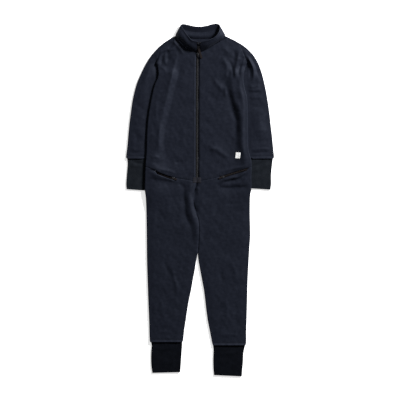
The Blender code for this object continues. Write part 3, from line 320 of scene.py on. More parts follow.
# Creases: path, half width on its right and left sides seen along the path, and height (a trough is < 0)
FRONT_CREASES = (
    # right shoulder, from the neck to the armhole
    (((-112, 548), (-98, 542), (-86, 534), (-74, 521), (-62, 505), (-54, 488)), 7, 7, 3.6),
    (((-176, 466), (-163, 482), (-151, 493), (-139, 501), (-126, 506), (-112, 512), (-103, 510), (-93, 515),
      (-84, 526), (-74, 540)), 5, 7, 3.8),
    (((-122, 506), (-131, 495), (-138, 481), (-142, 466), (-140, 450), (-132, 436)), 5, 5, 2.8),
    (((-166, 476), (-154, 470), (-146, 460), (-137, 452), (-126, 446), (-108, 436)), 6, 6, 3),
    (((-112, 504), (-119, 490), (-119, 475), (-114, 455)), 5, 5, 1.8),
    (((-106, 506), (-109, 490), (-107, 468)), 8, 7, -1.8),
    (((-124, 492), (-131, 474), (-126, 458)), 5, 5, -1.6),
    # long fold down the right chest, where the body falls from the sleeve beneath it
    (((-78, 528), (-79, 508), (-81, 488), (-84, 468), (-91, 440), (-98, 410), (-104, 380), (-110, 350),
      (-118, 320), (-123, 290), (-127, 262)), 12, 6, 2.3),
    (((-131, 262), (-136, 240), (-138, 215), (-140, 180), (-141, 156)), 6, 9, 2.6),
    (((-66, 470), (-72, 430), (-80, 390), (-86, 350)), 9, 12, -1.2),
    (((-148, 340), (-150, 300), (-147, 262)), 5, 5, 0.9),
    (((-160, 270), (-158, 245), (-156, 215)), 6, 6, -1),
    (((-86, 128), (-73, 129), (-58, 133)), 4, 4, -1.5),
    (((-170, 143), (-152, 147), (-134, 141)), 5, 5, 1.6),
    (((-166, 128), (-148, 126), (-128, 130)), 6, 5, -1.2),
    (((-60, 250), (-56, 220), (-58, 190)), 8, 8, 0.8),
    # left shoulder and chest
    (((72, 488), (82, 474), (88, 462), (91, 447), (90, 428), (86, 400)), 9, 7, 2.8),
    (((96, 482), (104, 464), (109, 449), (112, 432), (110, 404)), 5, 6, -2.4),
    (((118, 512), (116, 487), (110, 466)), 8, 7, -2),
    (((138, 510), (131, 494), (127, 476), (124, 462), (120, 446), (119, 428), (124, 408)), 6, 6, 3.4),
    (((142, 486), (137, 468), (131, 456), (124, 440)), 5, 5, 1.8),
    (((152, 500), (149, 480), (146, 462), (143, 444), (141, 424), (142, 404), (146, 384)), 5, 4, 2.2),
    (((140, 470), (135, 452), (133, 436), (137, 412)), 5, 5, -2.4),
    (((124, 470), (138, 483), (150, 489), (166, 484)), 5, 5, 1.6),
    (((122, 494), (136, 504), (149, 509), (166, 500)), 5, 5, 1.4),
    (((104, 486), (95, 500), (84, 512), (66, 520)), 7, 7, 1.2),
    (((143, 458), (140, 436), (136, 412), (136, 392), (140, 372), (145, 350), (147, 320), (147, 262),
      (147, 225), (147, 190), (148, 165), (150, 140), (152, 112)), 9, 12, 3.6),
    (((152, 196), (153, 172), (156, 150), (158, 130), (160, 104)), 20, 8, 1.2),
    # long hollow down the left chest, where the body rises over the sleeve beneath it
    (((99, 396), (98, 372), (101, 355), (106, 340), (109, 325), (113, 310), (120, 285), (124, 268),
      (124, 245), (125, 222), (128, 190)), 9, 8, -2.4),
    (((87, 392), (86, 368), (88, 346)), 8, 6, 2.2),
    (((128, 344), (131, 325), (134, 308), (137, 290), (140, 272)), 6, 7, 2),
    (((43, 411), (55, 399), (63, 390), (70, 380), (79, 366)), 8, 8, 2.6),
    (((30, 372), (44, 350), (60, 334)), 9, 9, -0.9),
    (((24, 179), (45, 174), (62, 167), (82, 153), (102, 142)), 8, 10, 3.4),
    (((112, 180), (118, 200), (116, 222)), 9, 8, 0.9),
    # right pocket's lips
    (((-160, 111), (-140, 107), (-122, 101), (-105, 98), (-90, 93), (-74, 86)), 5, 5, 1.6),
    (((-176, 104), (-163, 101), (-152, 97), (-142, 93)), 4, 4, -2.6),
    (((-166, 86), (-150, 86), (-135, 82), (-125, 79), (-115, 76), (-105, 73), (-95, 68), (-80, 61)),
     13, 5, 3.8),
    (((-184, 76), (-170, 72), (-155, 69), (-145, 68), (-135, 67.5), (-125, 65.5), (-115, 63.5),
      (-105, 61.5), (-88, 59), (-72, 58)), 17, 5, -2.4),
    # left pocket's lips
    (((60, 91), (75, 97), (95, 102), (120, 108), (145, 113), (164, 121)), 5, 5, 2),
    (((58, 58), (70, 61), (80, 67.5), (90, 70), (100, 73), (110, 75.5), (120, 76.5), (130, 79), (140, 85),
      (150, 91.5), (160, 98), (174, 105)), 4.5, 9, 4.6),
    (((66, 58), (80, 61), (90, 62.5), (100, 65.5), (110, 68), (120, 68.5), (130, 71.5), (140, 77.5),
      (150, 84), (160, 90), (176, 98)), 9, 4, -2),
    (((66, 58), (90, 56), (120, 57), (150, 61)), 6, 6, 1.4),
    (((46, 60), (58, 52), (70, 44.5), (80, 42), (90, 41.5), (100, 41), (110, 42), (120, 43), (130, 43),
      (140, 43.5), (155, 45), (172, 46.5), (190, 48)), 15, 4.5, -3.2),
    (((60, 86), (70, 74), (80, 66)), 4, 4, -1.4),
    # under the zip and beside the centre seam
    (((-76, 58), (-60, 46), (-46, 40)), 8, 7, -1.5),
    (((-31, 84), (-31, 64), (-31, 49), (-34, 34), (-36, 19), (-37, 8), (-36, -4), (-34, -14), (-31, -32),
      (-29, -43), (-25, -53), (-21, -63), (-17, -84)), 14, 11, 4.4),
    (((-31, -32), (-29, -43), (-25, -53), (-21, -63), (-18, -73), (-14, -83), (-12, -95), (-12, -114),
      (-13, -142)), 14, 11, 2.9),
    (((-60, 70), (-57, 38), (-54, 25), (-55, 10), (-53, -5), (-51, -20), (-50, -40), (-48, -55),
      (-44, -68), (-37, -80), (-32, -92), (-28, -108), (-26, -130), (-27, -160)), 10, 7, -2.4),
    (((-16, 60), (-17, 44), (-17.5, 32), (-19, 20), (-20.5, 8), (-20.5, -8), (-20, -22), (-15, -34),
      (-11, -46), (-8, -66)), 3, 8, -3.8),
    (((-11, 80), (-12, 60), (-14, 38)), 3, 5, -2.4),
    (((-6, 48), (-7, 32), (-7, 12)), 4, 5, 1.4),
    (((-150, 134), (-150, 90), (-150, 50), (-152, 10)), 18, 60, 2.6),
    (((10, 26), (8, 0), (6, -24)), 7, 8, 0.8),
    (((10, -80), (14, -110), (10, -150)), 8, 8, -0.9),
    (((68, 2), (58, -30), (46, -66)), 9, 9, -1),
    (((84, -9), (110, -13), (142, -9)), 6, 6, -1),
    (((-104, 34), (-108, -20), (-100, -70)), 14, 12, 0.9),
    (((-150, 0), (-140, -40), (-146, -90)), 10, 10, -0.8),
    (((30, 10), (38, -16), (36, -50)), 10, 10, 0.7),
    # shins
    (((-99, -215), (-92, -250), (-82, -285), (-76, -325)), 7, 7, 1.9),
    (((-122, -190), (-114, -230), (-106, -262)), 8, 8, -1.1),
    (((-60, -228), (-76, -244), (-100, -250)), 6, 6, 1.1),
    (((-136, -330), (-128, -370), (-122, -420)), 9, 9, 1.1),
    (((-60, -360), (-72, -392), (-78, -430)), 8, 8, -1),
    (((104, -206), (118, -240), (122, -280)), 9, 9, 1.2),
    (((60, -210), (72, -250), (76, -300)), 9, 9, -1),
    (((84, -330), (92, -372), (86, -420)), 9, 9, 1.2),
    (((128, -350), (122, -390), (126, -440)), 8, 8, -1),
    (((-150, -452), (-120, -446), (-90, -452)), 6, 6, 1),
    (((64, -462), (96, -456), (136, -462)), 6, 6, 1),
)
BACK_CREASES = (
    (((-96, 500), (-70, 470), (-30, 452)), 8, 8, 1.2),
    (((98, 500), (74, 474), (36, 456)), 8, 8, 1.2),
    (((-110, 420), (-90, 330), (-96, 240)), 10, 10, 1),
    (((104, 400), (88, 300), (92, 210)), 10, 10, 1.1),
    (((-60, 190), (0, 176), (60, 188)), 8, 8, 1.2),
    (((-90, 150), (-20, 138), (70, 150)), 8, 8, 1),
    (((-20, 76), (-40, 20), (-44, -60)), 9, 9, 1.2),
    (((6, 70), (26, 14), (24, -70)), 9, 9, 1.1),
    (((-110, -150), (-84, -200), (-60, -240)), 9, 9, 1),
    (((110, -150), (82, -206), (50, -250)), 9, 9, 1),
    (((-130, -330), (-110, -380), (-112, -430)), 9, 9, 0.9),
    (((116, -340), (98, -390), (104, -440)), 9, 9, 0.9),
)
SLEEVE_CREASES = (
    # right sleeve
    (((-180, 460), (-172, 474), (-163, 482), (-151, 493), (-139, 501), (-126, 506), (-112, 512)), 5, 7, 3.4),
    (((-186, 462), (-166, 474), (-154, 470), (-146, 460)), 6, 6, 2.4),
    (((-150, 484), (-158, 476), (-166, 456)), 5, 5, -1.4),
    (((-160, 458), (-172, 446), (-180, 424)), 6, 6, 1.4),
    (((-150, 424), (-172, 420), (-198, 404)), 8, 8, 1.2),
    (((-160, 398), (-186, 392), (-212, 376)), 8, 8, -1),
    (((-168, 372), (-190, 362), (-216, 352)), 8, 8, 1.1),
    (((-226, 330), (-206, 318), (-186, 300)), 8, 8, -1),
    (((-190, 290), (-204, 270), (-232, 262)), 8, 8, 1.2),
    (((-188, 250), (-192, 220), (-190, 196)), 9, 9, 1.1),
    (((-232, 240), (-218, 222), (-212, 190)), 8, 8, -1),
    (((-240, 176), (-214, 170), (-186, 176)), 7, 7, 1),
    # left sleeve
    (((150, 489), (166, 484), (176, 476)), 5, 5, 1.6),
    (((149, 509), (166, 500), (178, 490)), 5, 5, 1.4),
    (((152, 446), (154, 462), (158, 471), (164, 476), (170, 471), (175, 461), (180, 451), (182, 438),
      (181, 414), (176, 396)), 5, 6, 4.2),
    (((163, 470), (163, 458), (167, 446), (170, 428), (168, 408)), 5, 5, -2.4),
    (((156, 494), (170, 484), (178, 475), (185, 462), (191, 450), (196, 430), (200, 408)), 5, 6, -2.2),
    (((188, 440), (196, 420), (203, 396)), 7, 7, 1),
    (((160, 386), (180, 384), (206, 390)), 5, 5, 1.4),
    (((158, 377), (180, 373), (208, 377)), 5, 5, 1.4),
    (((156, 366), (180, 364), (212, 368)), 5, 5, -1.6),
    (((160, 352), (184, 347), (214, 352)), 6, 6, 1.2),
    (((160, 322), (190, 316), (222, 322)), 7, 7, -1),
    (((169, 262), (172, 226), (171, 170)), 5, 6, 1.4),
    (((226, 300), (206, 276), (186, 262)), 8, 8, 1.1),
    (((182, 246), (200, 236), (234, 240)), 8, 8, 1.3),
    (((186, 206), (206, 200), (236, 204)), 7, 7, -0.9),
    (((152, 176), (184, 171), (214, 174), (250, 170)), 4, 4, 1.1),
    (((196, 330), (200, 290), (206, 240), (208, 190)), 26, 12, 1.8),
    (((152, 163), (186, 160), (216, 163), (250, 160)), 4, 3, -1.2),
    (((-250, 166), (-226, 160), (-200, 163), (-158, 158)), 4, 3, -1),
)
CUFF_CREASES = (
    (((-238, 134), (-214, 126), (-190, 124), (-164, 128)), 5, 5, -2.2),
    (((-246, 108), (-224, 116), (-196, 112), (-168, 114)), 6, 6, 1.9),
    (((-244, 60), (-222, 84), (-196, 96), (-168, 98)), 6, 6, -1.3),
    (((-236, 46), (-210, 62), (-184, 84)), 7, 7, 1.2),
    (((160, 112), (180, 115), (200, 121), (224, 134)), 5, 5, -2.6),
    (((160, 98), (186, 100), (212, 110), (240, 130)), 6, 7, 2.2),
    (((170, 62), (200, 76), (232, 96)), 7, 7, 1.2),
    (((-158, -502), (-116, -508), (-72, -500)), 6, 6, 0.9),
    (((-140, -560), (-112, -548), (-80, -556)), 8, 8, 0.6),
    (((52, -516), (94, -522), (140, -514)), 6, 6, 0.9),
    (((60, -560), (92, -552), (130, -566)), 8, 8, 0.7),
)


# ---------------------------------------------------------------- curves and surfaces


def ease(t):
    t = np.clip(t, 0.0, 1.0)
    return t * t * (3 - 2 * t)


def lerp(a, b, t):
    return a + (b - a) * t


def bell(t, middle, width):
    return np.exp(-(((t - middle) / width) ** 2))


def constant(value):
    """A function that has the same value everywhere."""
    return lambda at: np.full(np.shape(at), value)


def smooth(table, at):
    """Cubic curve through the table's (place, value) rows, straight on past its ends."""
    places, values = np.array(table, float).T
    slopes = np.empty_like(values)
    slopes[1:-1] = (values[2:] - values[:-2]) / (places[2:] - places[:-2])
    slopes[0] = (values[1] - values[0]) / (places[1] - places[0])
    slopes[-1] = (values[-1] - values[-2]) / (places[-1] - places[-2])
    at = np.asarray(at, float)
    i = np.clip(np.searchsorted(places, at, side="right") - 1, 0, len(places) - 2)
    span = places[i + 1] - places[i]
    t = (at - places[i]) / span
    curve = (
        (2 * t**3 - 3 * t**2 + 1) * values[i]
        + (t**3 - 2 * t**2 + t) * span * slopes[i]
        + (3 * t**2 - 2 * t**3) * values[i + 1]
        + (t**3 - t**2) * span * slopes[i + 1]
    )
    below = values[0] + slopes[0] * (at - places[0])
    above = values[-1] + slopes[-1] * (at - places[-1])
    return np.where(at < places[0], below, np.where(at > places[-1], above, curve))


def straight(table, at):
    """Straight lines between the table's (place, value) rows, level past its ends."""
    places, values = np.array(table, float).T
    return np.interp(at, places, values)


def smooth_columns(places, rows, at):
    """Each column of the rows as a smooth curve over the rows' places."""
    return np.stack([smooth(np.stack([places, column], 1), at) for column in rows.T], 1)


def smooth_path(points, steps=6):
    """A path's points on one smooth curve through the given ones."""
    points = np.array(points, float)
    last = len(points) - 1
    return smooth_columns(np.arange(last + 1), points, np.linspace(0, last, last * steps + 1))


def unit(vectors):
    return vectors / np.linalg.norm(vectors, axis=-1, keepdims=True)


def lengths_along(points):
    """Distance along a line from its first point to each of its points."""
    return np.concatenate([[0], np.cumsum(np.linalg.norm(np.diff(points, axis=0), axis=1))])


def body_edge(side, y):
    """x of the body's edge: a curve up to the armhole, then the armhole's straight seam."""
    foot = BODY_EDGE[side][-1]
    seam = straight((foot, SHOULDER_POINT[side]), y)
    return np.where(np.asarray(y) <= foot[0], smooth(BODY_EDGE[side], y), seam)


def lift(x, y):
    """Height of the body's underside: zero on the floor, higher where a sleeve passes under its side."""
    height = 0.0
    (low_start, low_stop), (high_start, high_stop) = LIFT_LOW, LIFT_HIGH
    along = ease((y - low_start) / (low_stop - low_start))
    along = along * (1 - ease((y - high_start) / (high_stop - high_start)))
    for side, here in (("right", x < BACK_SEAM_X), ("left", x >= BACK_SEAM_X)):
        inside = np.abs(body_edge(side, y) - x)
        across = 1 - ease((inside - straight(RAMP_INSET[side], y)) / straight(RAMP, y) + 0.5)
        height = height + np.where(here, SIDE_LIFT * across * along, 0.0)
    return height


def creases(x, y, table):
    """Sum of the creases' heights. Each is uneven along its path and runs out softly at its ends."""
    height = np.zeros(np.shape(x))
    for number, (points, right, left, peak) in enumerate(table):
        path = smooth_path(points)
        reach = CREASE_REACH * max(right, left)
        low, high = path.min(0) - reach, path.max(0) + reach
        near = (x > low[0]) & (x < high[0]) & (y > low[1]) & (y < high[1])
        if not near.any():
            continue
        px, py = x[near], y[near]
        best = np.full(px.shape, 1e9)
        side = np.zeros(px.shape)
        share = np.zeros(px.shape)
        spans = path[1:] - path[:-1]
        lengths = np.hypot(spans[:, 0], spans[:, 1])
        done = 0.0
        for start, span, length in zip(path[:-1], spans, lengths):
            t = np.clip(((px - start[0]) * span[0] + (py - start[1]) * span[1]) / length**2, 0, 1)
            off_x, off_y = px - start[0] - t * span[0], py - start[1] - t * span[1]
            gap = np.hypot(off_x, off_y)
            closer = gap < best
            best = np.where(closer, gap, best)
            side = np.where(closer, span[0] * off_y - span[1] * off_x, side)
            share = np.where(closer, (done + t * length) / lengths.sum(), share)
            done += length
        width = np.where(side > 0, left, right)
        ends = ease(np.minimum(share, 1 - share) / CREASE_ENDS)
        uneven = CREASE_MEAN + CREASE_SWING * np.sin(share * CREASE_TURN + number * CREASE_SHIFT)
        height[near] += peak * ends * uneven * np.exp(-np.abs(best / width) ** CREASE_BLUNTNESS)
    return height


def unevenness(x, y, seed=0):
    """Soft unevenness of lying cloth, from waves in many directions."""
    draw = np.random.default_rng(WAVE_SEED + seed)
    height = np.zeros(np.shape(x))
    for wave_length, size in WAVES:
        for _ in range(WAVES_EACH):
            turn, phase = draw.uniform(0, 2 * pi, 2)
            stretch = wave_length * draw.uniform(*WAVE_STRETCH)
            height += size * np.sin((x * cos(turn) + y * sin(turn)) * 2 * pi / stretch + phase) / WAVE_CALM
    return height


def seam_dip(gap):
    """How far cloth is pulled down at this distance from a seam."""
    return SEAM_DIP * (1 - ease(gap / SEAM_REACH)) ** SEAM_CURVE


def hem_band(from_end):
    """Turned hem: it stands up towards its end, and its double stitching presses a groove into it."""
    band = HEM_RISE * (1 - ease(from_end / HEM_DEPTH))
    return band - HEM_GROOVE * bell(from_end, HEM_DEPTH, HEM_GROOVE_WIDTH)


# ---------------------------------------------------------------- shells


def wall_inside(outer, thickness, ring=False, facing=None):
    """Points one wall's thickness inside a grid of outer points. A ring is closed across its columns.

    facing is a vector that the outer side faces on average; a ring's outer side faces away from its middle.
    """
    if ring:
        across = np.roll(outer, -1, 1) - np.roll(outer, 1, 1)
    else:
        across = np.gradient(outer, axis=1)
    normal = np.cross(across, np.gradient(outer, axis=0))
    normal = normal / np.maximum(np.linalg.norm(normal, axis=2, keepdims=True), 1e-9)
    away = outer - outer.mean(1, keepdims=True) if ring else np.array(facing)
    outward = np.sum(normal * away) > 0
    inner = outer - normal * (thickness if outward else -thickness)
    if ring:
        # where a crease turns the wall over, its inner side stays within the outer one
        level, within = outer[:, :, 2], inner[:, :, 2]
        above = level > level.mean(1, keepdims=True)
        inner[:, :, 2] = np.where(above, np.minimum(within, level), np.maximum(within, level))
    return inner


def shell(name, outer, inner, finish, uv, ring=False):
    """Closed thin shell between two grids of points."""
    rows, columns = outer.shape[:2]
    under = rows * columns
    index = np.arange(under).reshape(rows, columns)
    if ring:
        index = np.concatenate([index, index[:, :1]], 1)
    a, b = index[:-1, :-1].ravel(), index[:-1, 1:].ravel()
    c, d = index[1:, 1:].ravel(), index[1:, :-1].ravel()
    faces = [np.stack([a, b, c, d], 1), np.stack([a, d, c, b], 1) + under]
    rims = (index[0], index[-1]) if ring else (index[0], index[-1], index[:, 0], index[:, -1])
    for rim in rims:
        first, second = rim[:-1], rim[1:]
        faces.append(np.stack([first, second, second + under, first + under], 1))
    points = np.concatenate([outer.reshape(-1, 3), inner.reshape(-1, 3)]) * MM
    return add_mesh(name, points, np.concatenate(faces), finish, SHELL_SHARP, uv)


def add_mesh(name, points, faces, finish, sharp, uv=None):
    """Mesh object from points in metres and faces with equal numbers of corners, facing out.

    Edges sharper than an angle in degrees stay sharp. uv is one map for both sides of a shell.
    """
    mesh = bpy.data.meshes.new(name)
    mesh.from_pydata(points.tolist(), [], faces.tolist())
    shape = bmesh.new()
    shape.from_mesh(mesh)
    bmesh.ops.recalc_face_normals(shape, faces=shape.faces)
    shape.to_mesh(mesh)
    shape.free()
    if uv is not None:
        flat = np.concatenate([uv.reshape(-1, 2), uv.reshape(-1, 2)]) * MM
        corners = np.empty(len(mesh.loops), int)
        mesh.loops.foreach_get("vertex_index", corners)
        mesh.uv_layers.new(name="UVMap").data.foreach_set("uv", flat[corners].ravel())
    mesh.shade_smooth()
    mesh.set_sharp_from_angle(angle=radians(sharp))
    mesh.materials.append(finish)
    return add_object(name, mesh)


def add_object(name, data):
    """Puts a mesh, a lamp or a camera into the scene."""
    piece = bpy.data.objects.new(name, data)
    bpy.context.scene.collection.objects.link(piece)
    return piece


def dress(piece, slot, *nodes):
    """The piece rides on the garment and stands for these solids. Its slot is not used."""
    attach(piece, BODY)
    if nodes:
        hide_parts(*nodes)


def lay(piece, slot, flat, *nodes, **extra):
    """Dresses a piece of laid cloth. Its flat size in metres is not used."""
    dress(piece, slot, *nodes)


# ---------------------------------------------------------------- materials


def set_inputs(node, settings):
    """Sets a node's inputs by name."""
    for name, value in settings.items():
        node.inputs[name].default_value = value
    return node


def new_finish(name, settings):
    """Material with these settings of its shader, its node tree and the shader."""
    finish = bpy.data.materials.new(name)
    finish.use_nodes = True
    return finish, finish.node_tree, set_inputs(finish.node_tree.nodes["Principled BSDF"], settings)


def texture(tree, kind, place, settings):
    node = set_inputs(tree.nodes.new(kind), settings)
    tree.links.new(place, node.inputs["Vector"])
    return node


def noise(tree, place, scale, detail, roughness=0.5):
    settings = {"Scale": scale, "Detail": detail, "Roughness": roughness}
    return texture(tree, "ShaderNodeTexNoise", place, settings).outputs["Fac"]


def bands(tree, place, scale, direction):
    node = texture(tree, "ShaderNodeTexWave", place, {"Scale": scale})
    node.wave_type = "BANDS"
    node.bands_direction = direction
    return node.outputs["Fac"]


def colour_by(tree, shader, share, low, high):
    """The shader's colour lies between two colours."""
    ramp = tree.nodes.new("ShaderNodeValToRGB")
    for element, place, colour in zip(ramp.color_ramp.elements, (0.3, 0.7), (low, high)):
        element.position = place
        element.color = (*colour, 1)
    tree.links.new(share, ramp.inputs["Fac"])
    tree.links.new(ramp.outputs["Color"], shader.inputs["Base Color"])


def bump_by(tree, shader, layers):
    """Chain of bumps in front of the shader: height, distance in metres and strength of each."""
    last = None
    for height, distance, strength in layers:
        bump = set_inputs(tree.nodes.new("ShaderNodeBump"), {"Strength": strength, "Distance": distance})
        tree.links.new(height, bump.inputs["Height"])
        if last is not None:
            tree.links.new(last, bump.inputs["Normal"])
        last = bump.outputs["Normal"]
    tree.links.new(last, shader.inputs["Normal"])


def fleece_finish():
    """Dark navy brushed fleece: a short, slightly matted nap that catches light at its edges."""
    finish, tree, shader = new_finish("fleece", {
        "Roughness": 0.66,
        "Specular IOR Level": 0.11,
        "Specular Tint": (0.72, 0.80, 1.0, 1),
        "Sheen Weight": 0.04,
        "Sheen Roughness": 0.4,
        "Sheen Tint": (0.62, 0.70, 0.90, 1),
    })
    place = tree.nodes.new("ShaderNodeTexCoord").outputs["Object"]
    matting = noise(tree, place, 95, 4, 0.62)
    nap = noise(tree, place, 420, 3, 0.6)
    fibre = noise(tree, place, 1500, 2)
    colour_by(tree, shader, matting, (0.0028, 0.0036, 0.0070), (0.0056, 0.0067, 0.0116))
    bump_by(tree, shader, ((matting, 0.0008, 0.28), (nap, 0.0004, 0.35), (fibre, 0.0002, 0.3)))
    return finish


def knit_finish(name, low, high):
    """Near-black fine rib. The ribs follow the piece's length, which is the map's V."""
    finish, tree, shader = new_finish(name, {
        "Roughness": 0.85,
        "Specular IOR Level": 0.05,
        "Sheen Weight": 0.015,
        "Sheen Tint": (0.7, 0.8, 0.9, 1),
    })
    coordinates = tree.nodes.new("ShaderNodeTexCoord").outputs
    ribs = bands(tree, coordinates["UV"], 130, "X")
    yarn = noise(tree, coordinates["Object"], 1400, 2)
    colour_by(tree, shader, noise(tree, coordinates["Object"], 60, 3), low, high)
    bump_by(tree, shader, ((ribs, 0.0007, 0.6), (yarn, 0.0002, 0.4)))
    return finish


def plain_settings(colour, roughness, specular, metallic=0.0):
    return {
        "Base Color": (*colour, 1),
        "Roughness": roughness,
        "Specular IOR Level": specular,
        "Metallic": metallic,
    }


def plain_finish(name, *settings):
    return new_finish(name, plain_settings(*settings))[0]


def woven_finish(name, colour, roughness, scale):
    """Plain fine weave: crossed waves."""
    finish, tree, shader = new_finish(name, plain_settings(colour, roughness, 0.06))
    place = tree.nodes.new("ShaderNodeTexCoord").outputs["Object"]
    threads = [bands(tree, place, scale, direction) for direction in ("X", "Y")]
    bump_by(tree, shader, [(thread, 0.0002, 0.5) for thread in threads])
    return finish


FLEECE_FINISH = fleece_finish()
ARM_KNIT_FINISH = knit_finish("arm_knit", (0.0042, 0.0055, 0.0080), (0.0068, 0.0084, 0.0112))
LEG_KNIT_FINISH = knit_finish("leg_knit", (0.0004, 0.0008, 0.0021), (0.0014, 0.0020, 0.0040))
TAPE_FINISH = woven_finish("zip_tape", (0.0110, 0.0120, 0.0165), 0.9, 500)
PATCH_FINISH = woven_finish("zip_end_patch", (0.0125, 0.0125, 0.0165), 0.9, 500)
POCKET_TAPE_FINISH = woven_finish("pocket_zip_tape", (0.0075, 0.0058, 0.0066), 0.9, 500)
TAB_FINISH = woven_finish("woven_tab", (0.80, 0.80, 0.79), 0.8, 420)
COIL_FINISH = plain_finish("zip_coil", (0.0210, 0.0205, 0.0215), 0.6, 0.12)
POCKET_COIL_FINISH = plain_finish("pocket_zip_coil", (0.0100, 0.0078, 0.0080), 0.7, 0.08)
THREAD_FINISH = plain_finish("sewing_thread", (0.0055, 0.0068, 0.0105), 0.8, 0.06)
METAL_FINISH = plain_finish("slider_metal", (0.055, 0.055, 0.060), 0.32, 0.5, 0.9)
PULL_FINISH = plain_finish("pull_tab", (0.0075, 0.0052, 0.0050), 0.7, 0.10)
ALLOWANCE_FINISH = plain_finish("seam_allowance", (0.004, 0.005, 0.008), 0.95, 0.05)


# ---------------------------------------------------------------- body panels


class Panel:
    """A flat-laid panel between an inner and an outer edge x(y) and a low and a high edge y(x).

    A roll is 1 where that edge rolls over to the other layer and 0 where it doesn't. A seam is the share of
    a seam's full dip that the edge has.
    """

    front = True
    rolled_inside = True
    hemmed = False
    low_seam = 1.0
    high_seam = 1.0
    guesses = (0.0, 0.0)  # heights from which the search for the low and high edges starts

    def __init__(self, side, edges, **settings):
        self.inward = -OUTWARD[side]
        self.inner_x, self.outer_x, self.low_y, self.high_y = edges
        self.outer_roll = constant(1.0)
        self.inner_roll = self.top_roll = self.inner_seam = constant(0.0)
        vars(self).update(settings)

    def surface(self, x, y):
        """Height of the outer surface."""
        low, high = self.low_y(x), self.high_y(x)
        from_outer = np.abs(x - self.outer_x(y))
        from_inner = np.abs(x - self.inner_x(y))
        from_top = (high - y) * cos(SHOULDER_SLOPE)
        outer_roll, inner_roll, top_roll = self.outer_roll(y), self.inner_roll(y), self.top_roll(x)
        full_drop = EDGE_ROLL - SEAM_GAP / 2
        drop, room = 0.0, 1.0
        for gap, amount in ((from_outer, outer_roll), (from_inner, inner_roll), (from_top, top_roll)):
            room = room * (1 - amount * (1 - ease((gap - EDGE_ROLL) / LOFT_REACH)))
            reach = np.clip(1 - gap / EDGE_ROLL, 0, 1)
            drop = drop + full_drop * (1 - np.sqrt(1 - reach * reach)) * amount
        drop = np.minimum(drop, full_drop)
        seams = (
            ARMHOLE_SEAM * seam_dip(from_outer) * (1 - outer_roll)
            + seam_dip(from_inner) * self.inner_seam(y)
            + seam_dip(np.abs(y - low)) * self.low_seam
            + seam_dip(np.abs(high - y)) * (1 - top_roll) * self.high_seam
        )
        if not self.front:
            waves = BACK_UNEVENNESS * np.maximum(unevenness(x, y, 5), 0)
            form = np.maximum(creases(x, y, BACK_CREASES) + waves, 0)
            return lift(x, y) + drop + room * form + BACK_SEAM * seams
        form = LOFT + creases(x, y, FRONT_CREASES) + unevenness(x, y)
        form = np.where(form < DEEPEST + 1, DEEPEST + np.exp(np.minimum(form - DEEPEST - 1, 0)), form)
        form_room = EDGE_FORM + (1 - EDGE_FORM) * room
        z = lift(x, y) + 2 * EDGE_ROLL + room * LOFT + form_room * (form - LOFT) - drop - seams
        if not self.hemmed:
            return z
        under = HEM_ROLL * (1 - np.sqrt(1 - np.clip(1 - (y - low) / HEM_ROUND, 0, 1) ** 2))
        return z + (hem_band(y - low) - under) * ease(np.minimum(from_outer, from_inner) / HEM_CORNER)

    def grid(self):
        """Points of the outer surface: rolled edges and seams are sampled closely."""
        bottom, top = self.guesses
        middle_y = lerp(bottom, top, 0.5)
        count = int(abs(self.outer_x(middle_y) - self.inner_x(middle_y)) / STEP)
        tall = int(abs(top - bottom) / STEP)
        roll = EDGE_ROLL * (1 - np.cos(np.radians(ROLL_ANGLES)))
        inner_steps = roll if self.rolled_inside else SEAM_STEPS
        from_inner, from_outer, shared = 2, 1, 0
        kinds = np.repeat([from_inner, shared, from_outer], [len(inner_steps), count - 1, len(roll)])
        amounts = np.concatenate([inner_steps, np.arange(1, count) / count, roll[::-1]])

        def column_x(y):
            inner, outer = self.inner_x(y), self.outer_x(y)
            start, stop = inner - self.inward * inner_steps[-1], outer + self.inward * roll[-1]
            by_outer = outer + self.inward * amounts
            by_inner = inner - self.inward * amounts
            by_either = np.where(kinds == from_outer, by_outer, by_inner)
            return np.where(kinds == shared, lerp(start, stop, amounts), by_either)

        low = np.full(len(kinds), float(bottom))
        high = np.full(len(kinds), float(top))
        for _ in range(EDGE_SEARCH):
            low = lerp(low, self.low_y(column_x(low)), 0.5)
            high = lerp(high, self.high_y(column_x(high)), 0.5)
        rows = [low + d for d in SEAM_STEPS]
        rows += [lerp(low + SEAM_STEPS[-1], high - TOP_STEPS[-1], t) for t in np.arange(1, tall) / tall]
        rows += [high - d for d in TOP_STEPS[::-1]]
        y = np.stack(rows)
        x = column_x(y)
        return np.stack([x, y, self.surface(x, y)], 2)

    def build(self, name):
        outer = self.grid()
        inner = wall_inside(outer, FLEECE, facing=(0, 0, 1 if self.front else -1))
        return shell(name, outer, inner, FLEECE_FINISH, outer[:, :, :2])


def armhole_roll(y):
    """The side edge rolls below the armhole and is a plain seam along it."""
    return 1 - ease((y - LIFT_HIGH[1]) / ROLL_BLEND)


def front_panel(side):
    return Panel(
        side,
        (
            lambda y: smooth(ZIP_LINE, y) + OUTWARD[side] * ZIP_SLOT_HALF,
            # along the armhole the edge is sewn to the sleeve with no gap
            lambda y: body_edge(side, y) + OUTWARD[side] * SEAM_GAP * (1 - armhole_roll(y)),
            lambda x: smooth(YOKE, x),
            lambda x: straight(FRONT_TOP, x),
        ),
        rolled_inside=False,
        low_seam=0.5,
        guesses=(80, 530),
        outer_roll=armhole_roll,
        top_roll=lambda x: ease((np.abs(x) - abs(NECK_POINT[side])) / NECK_BLEND),
        inner_seam=constant(ZIP_SEAM[side]),
    )


def back_panel():
    return Panel(
        "right",
        (
            lambda y: body_edge("left", y),
            lambda y: body_edge("right", y),
            constant(WAIST_Y),
            lambda x: straight(BACK_TOP, x),
        ),
        front=False,
        guesses=(100, 540),
        outer_roll=armhole_roll,
        inner_roll=armhole_roll,
        top_roll=lambda x: ease(np.maximum(NECK_POINT["right"] - x, x - NECK_POINT["left"]) / NECK_BLEND),
    )


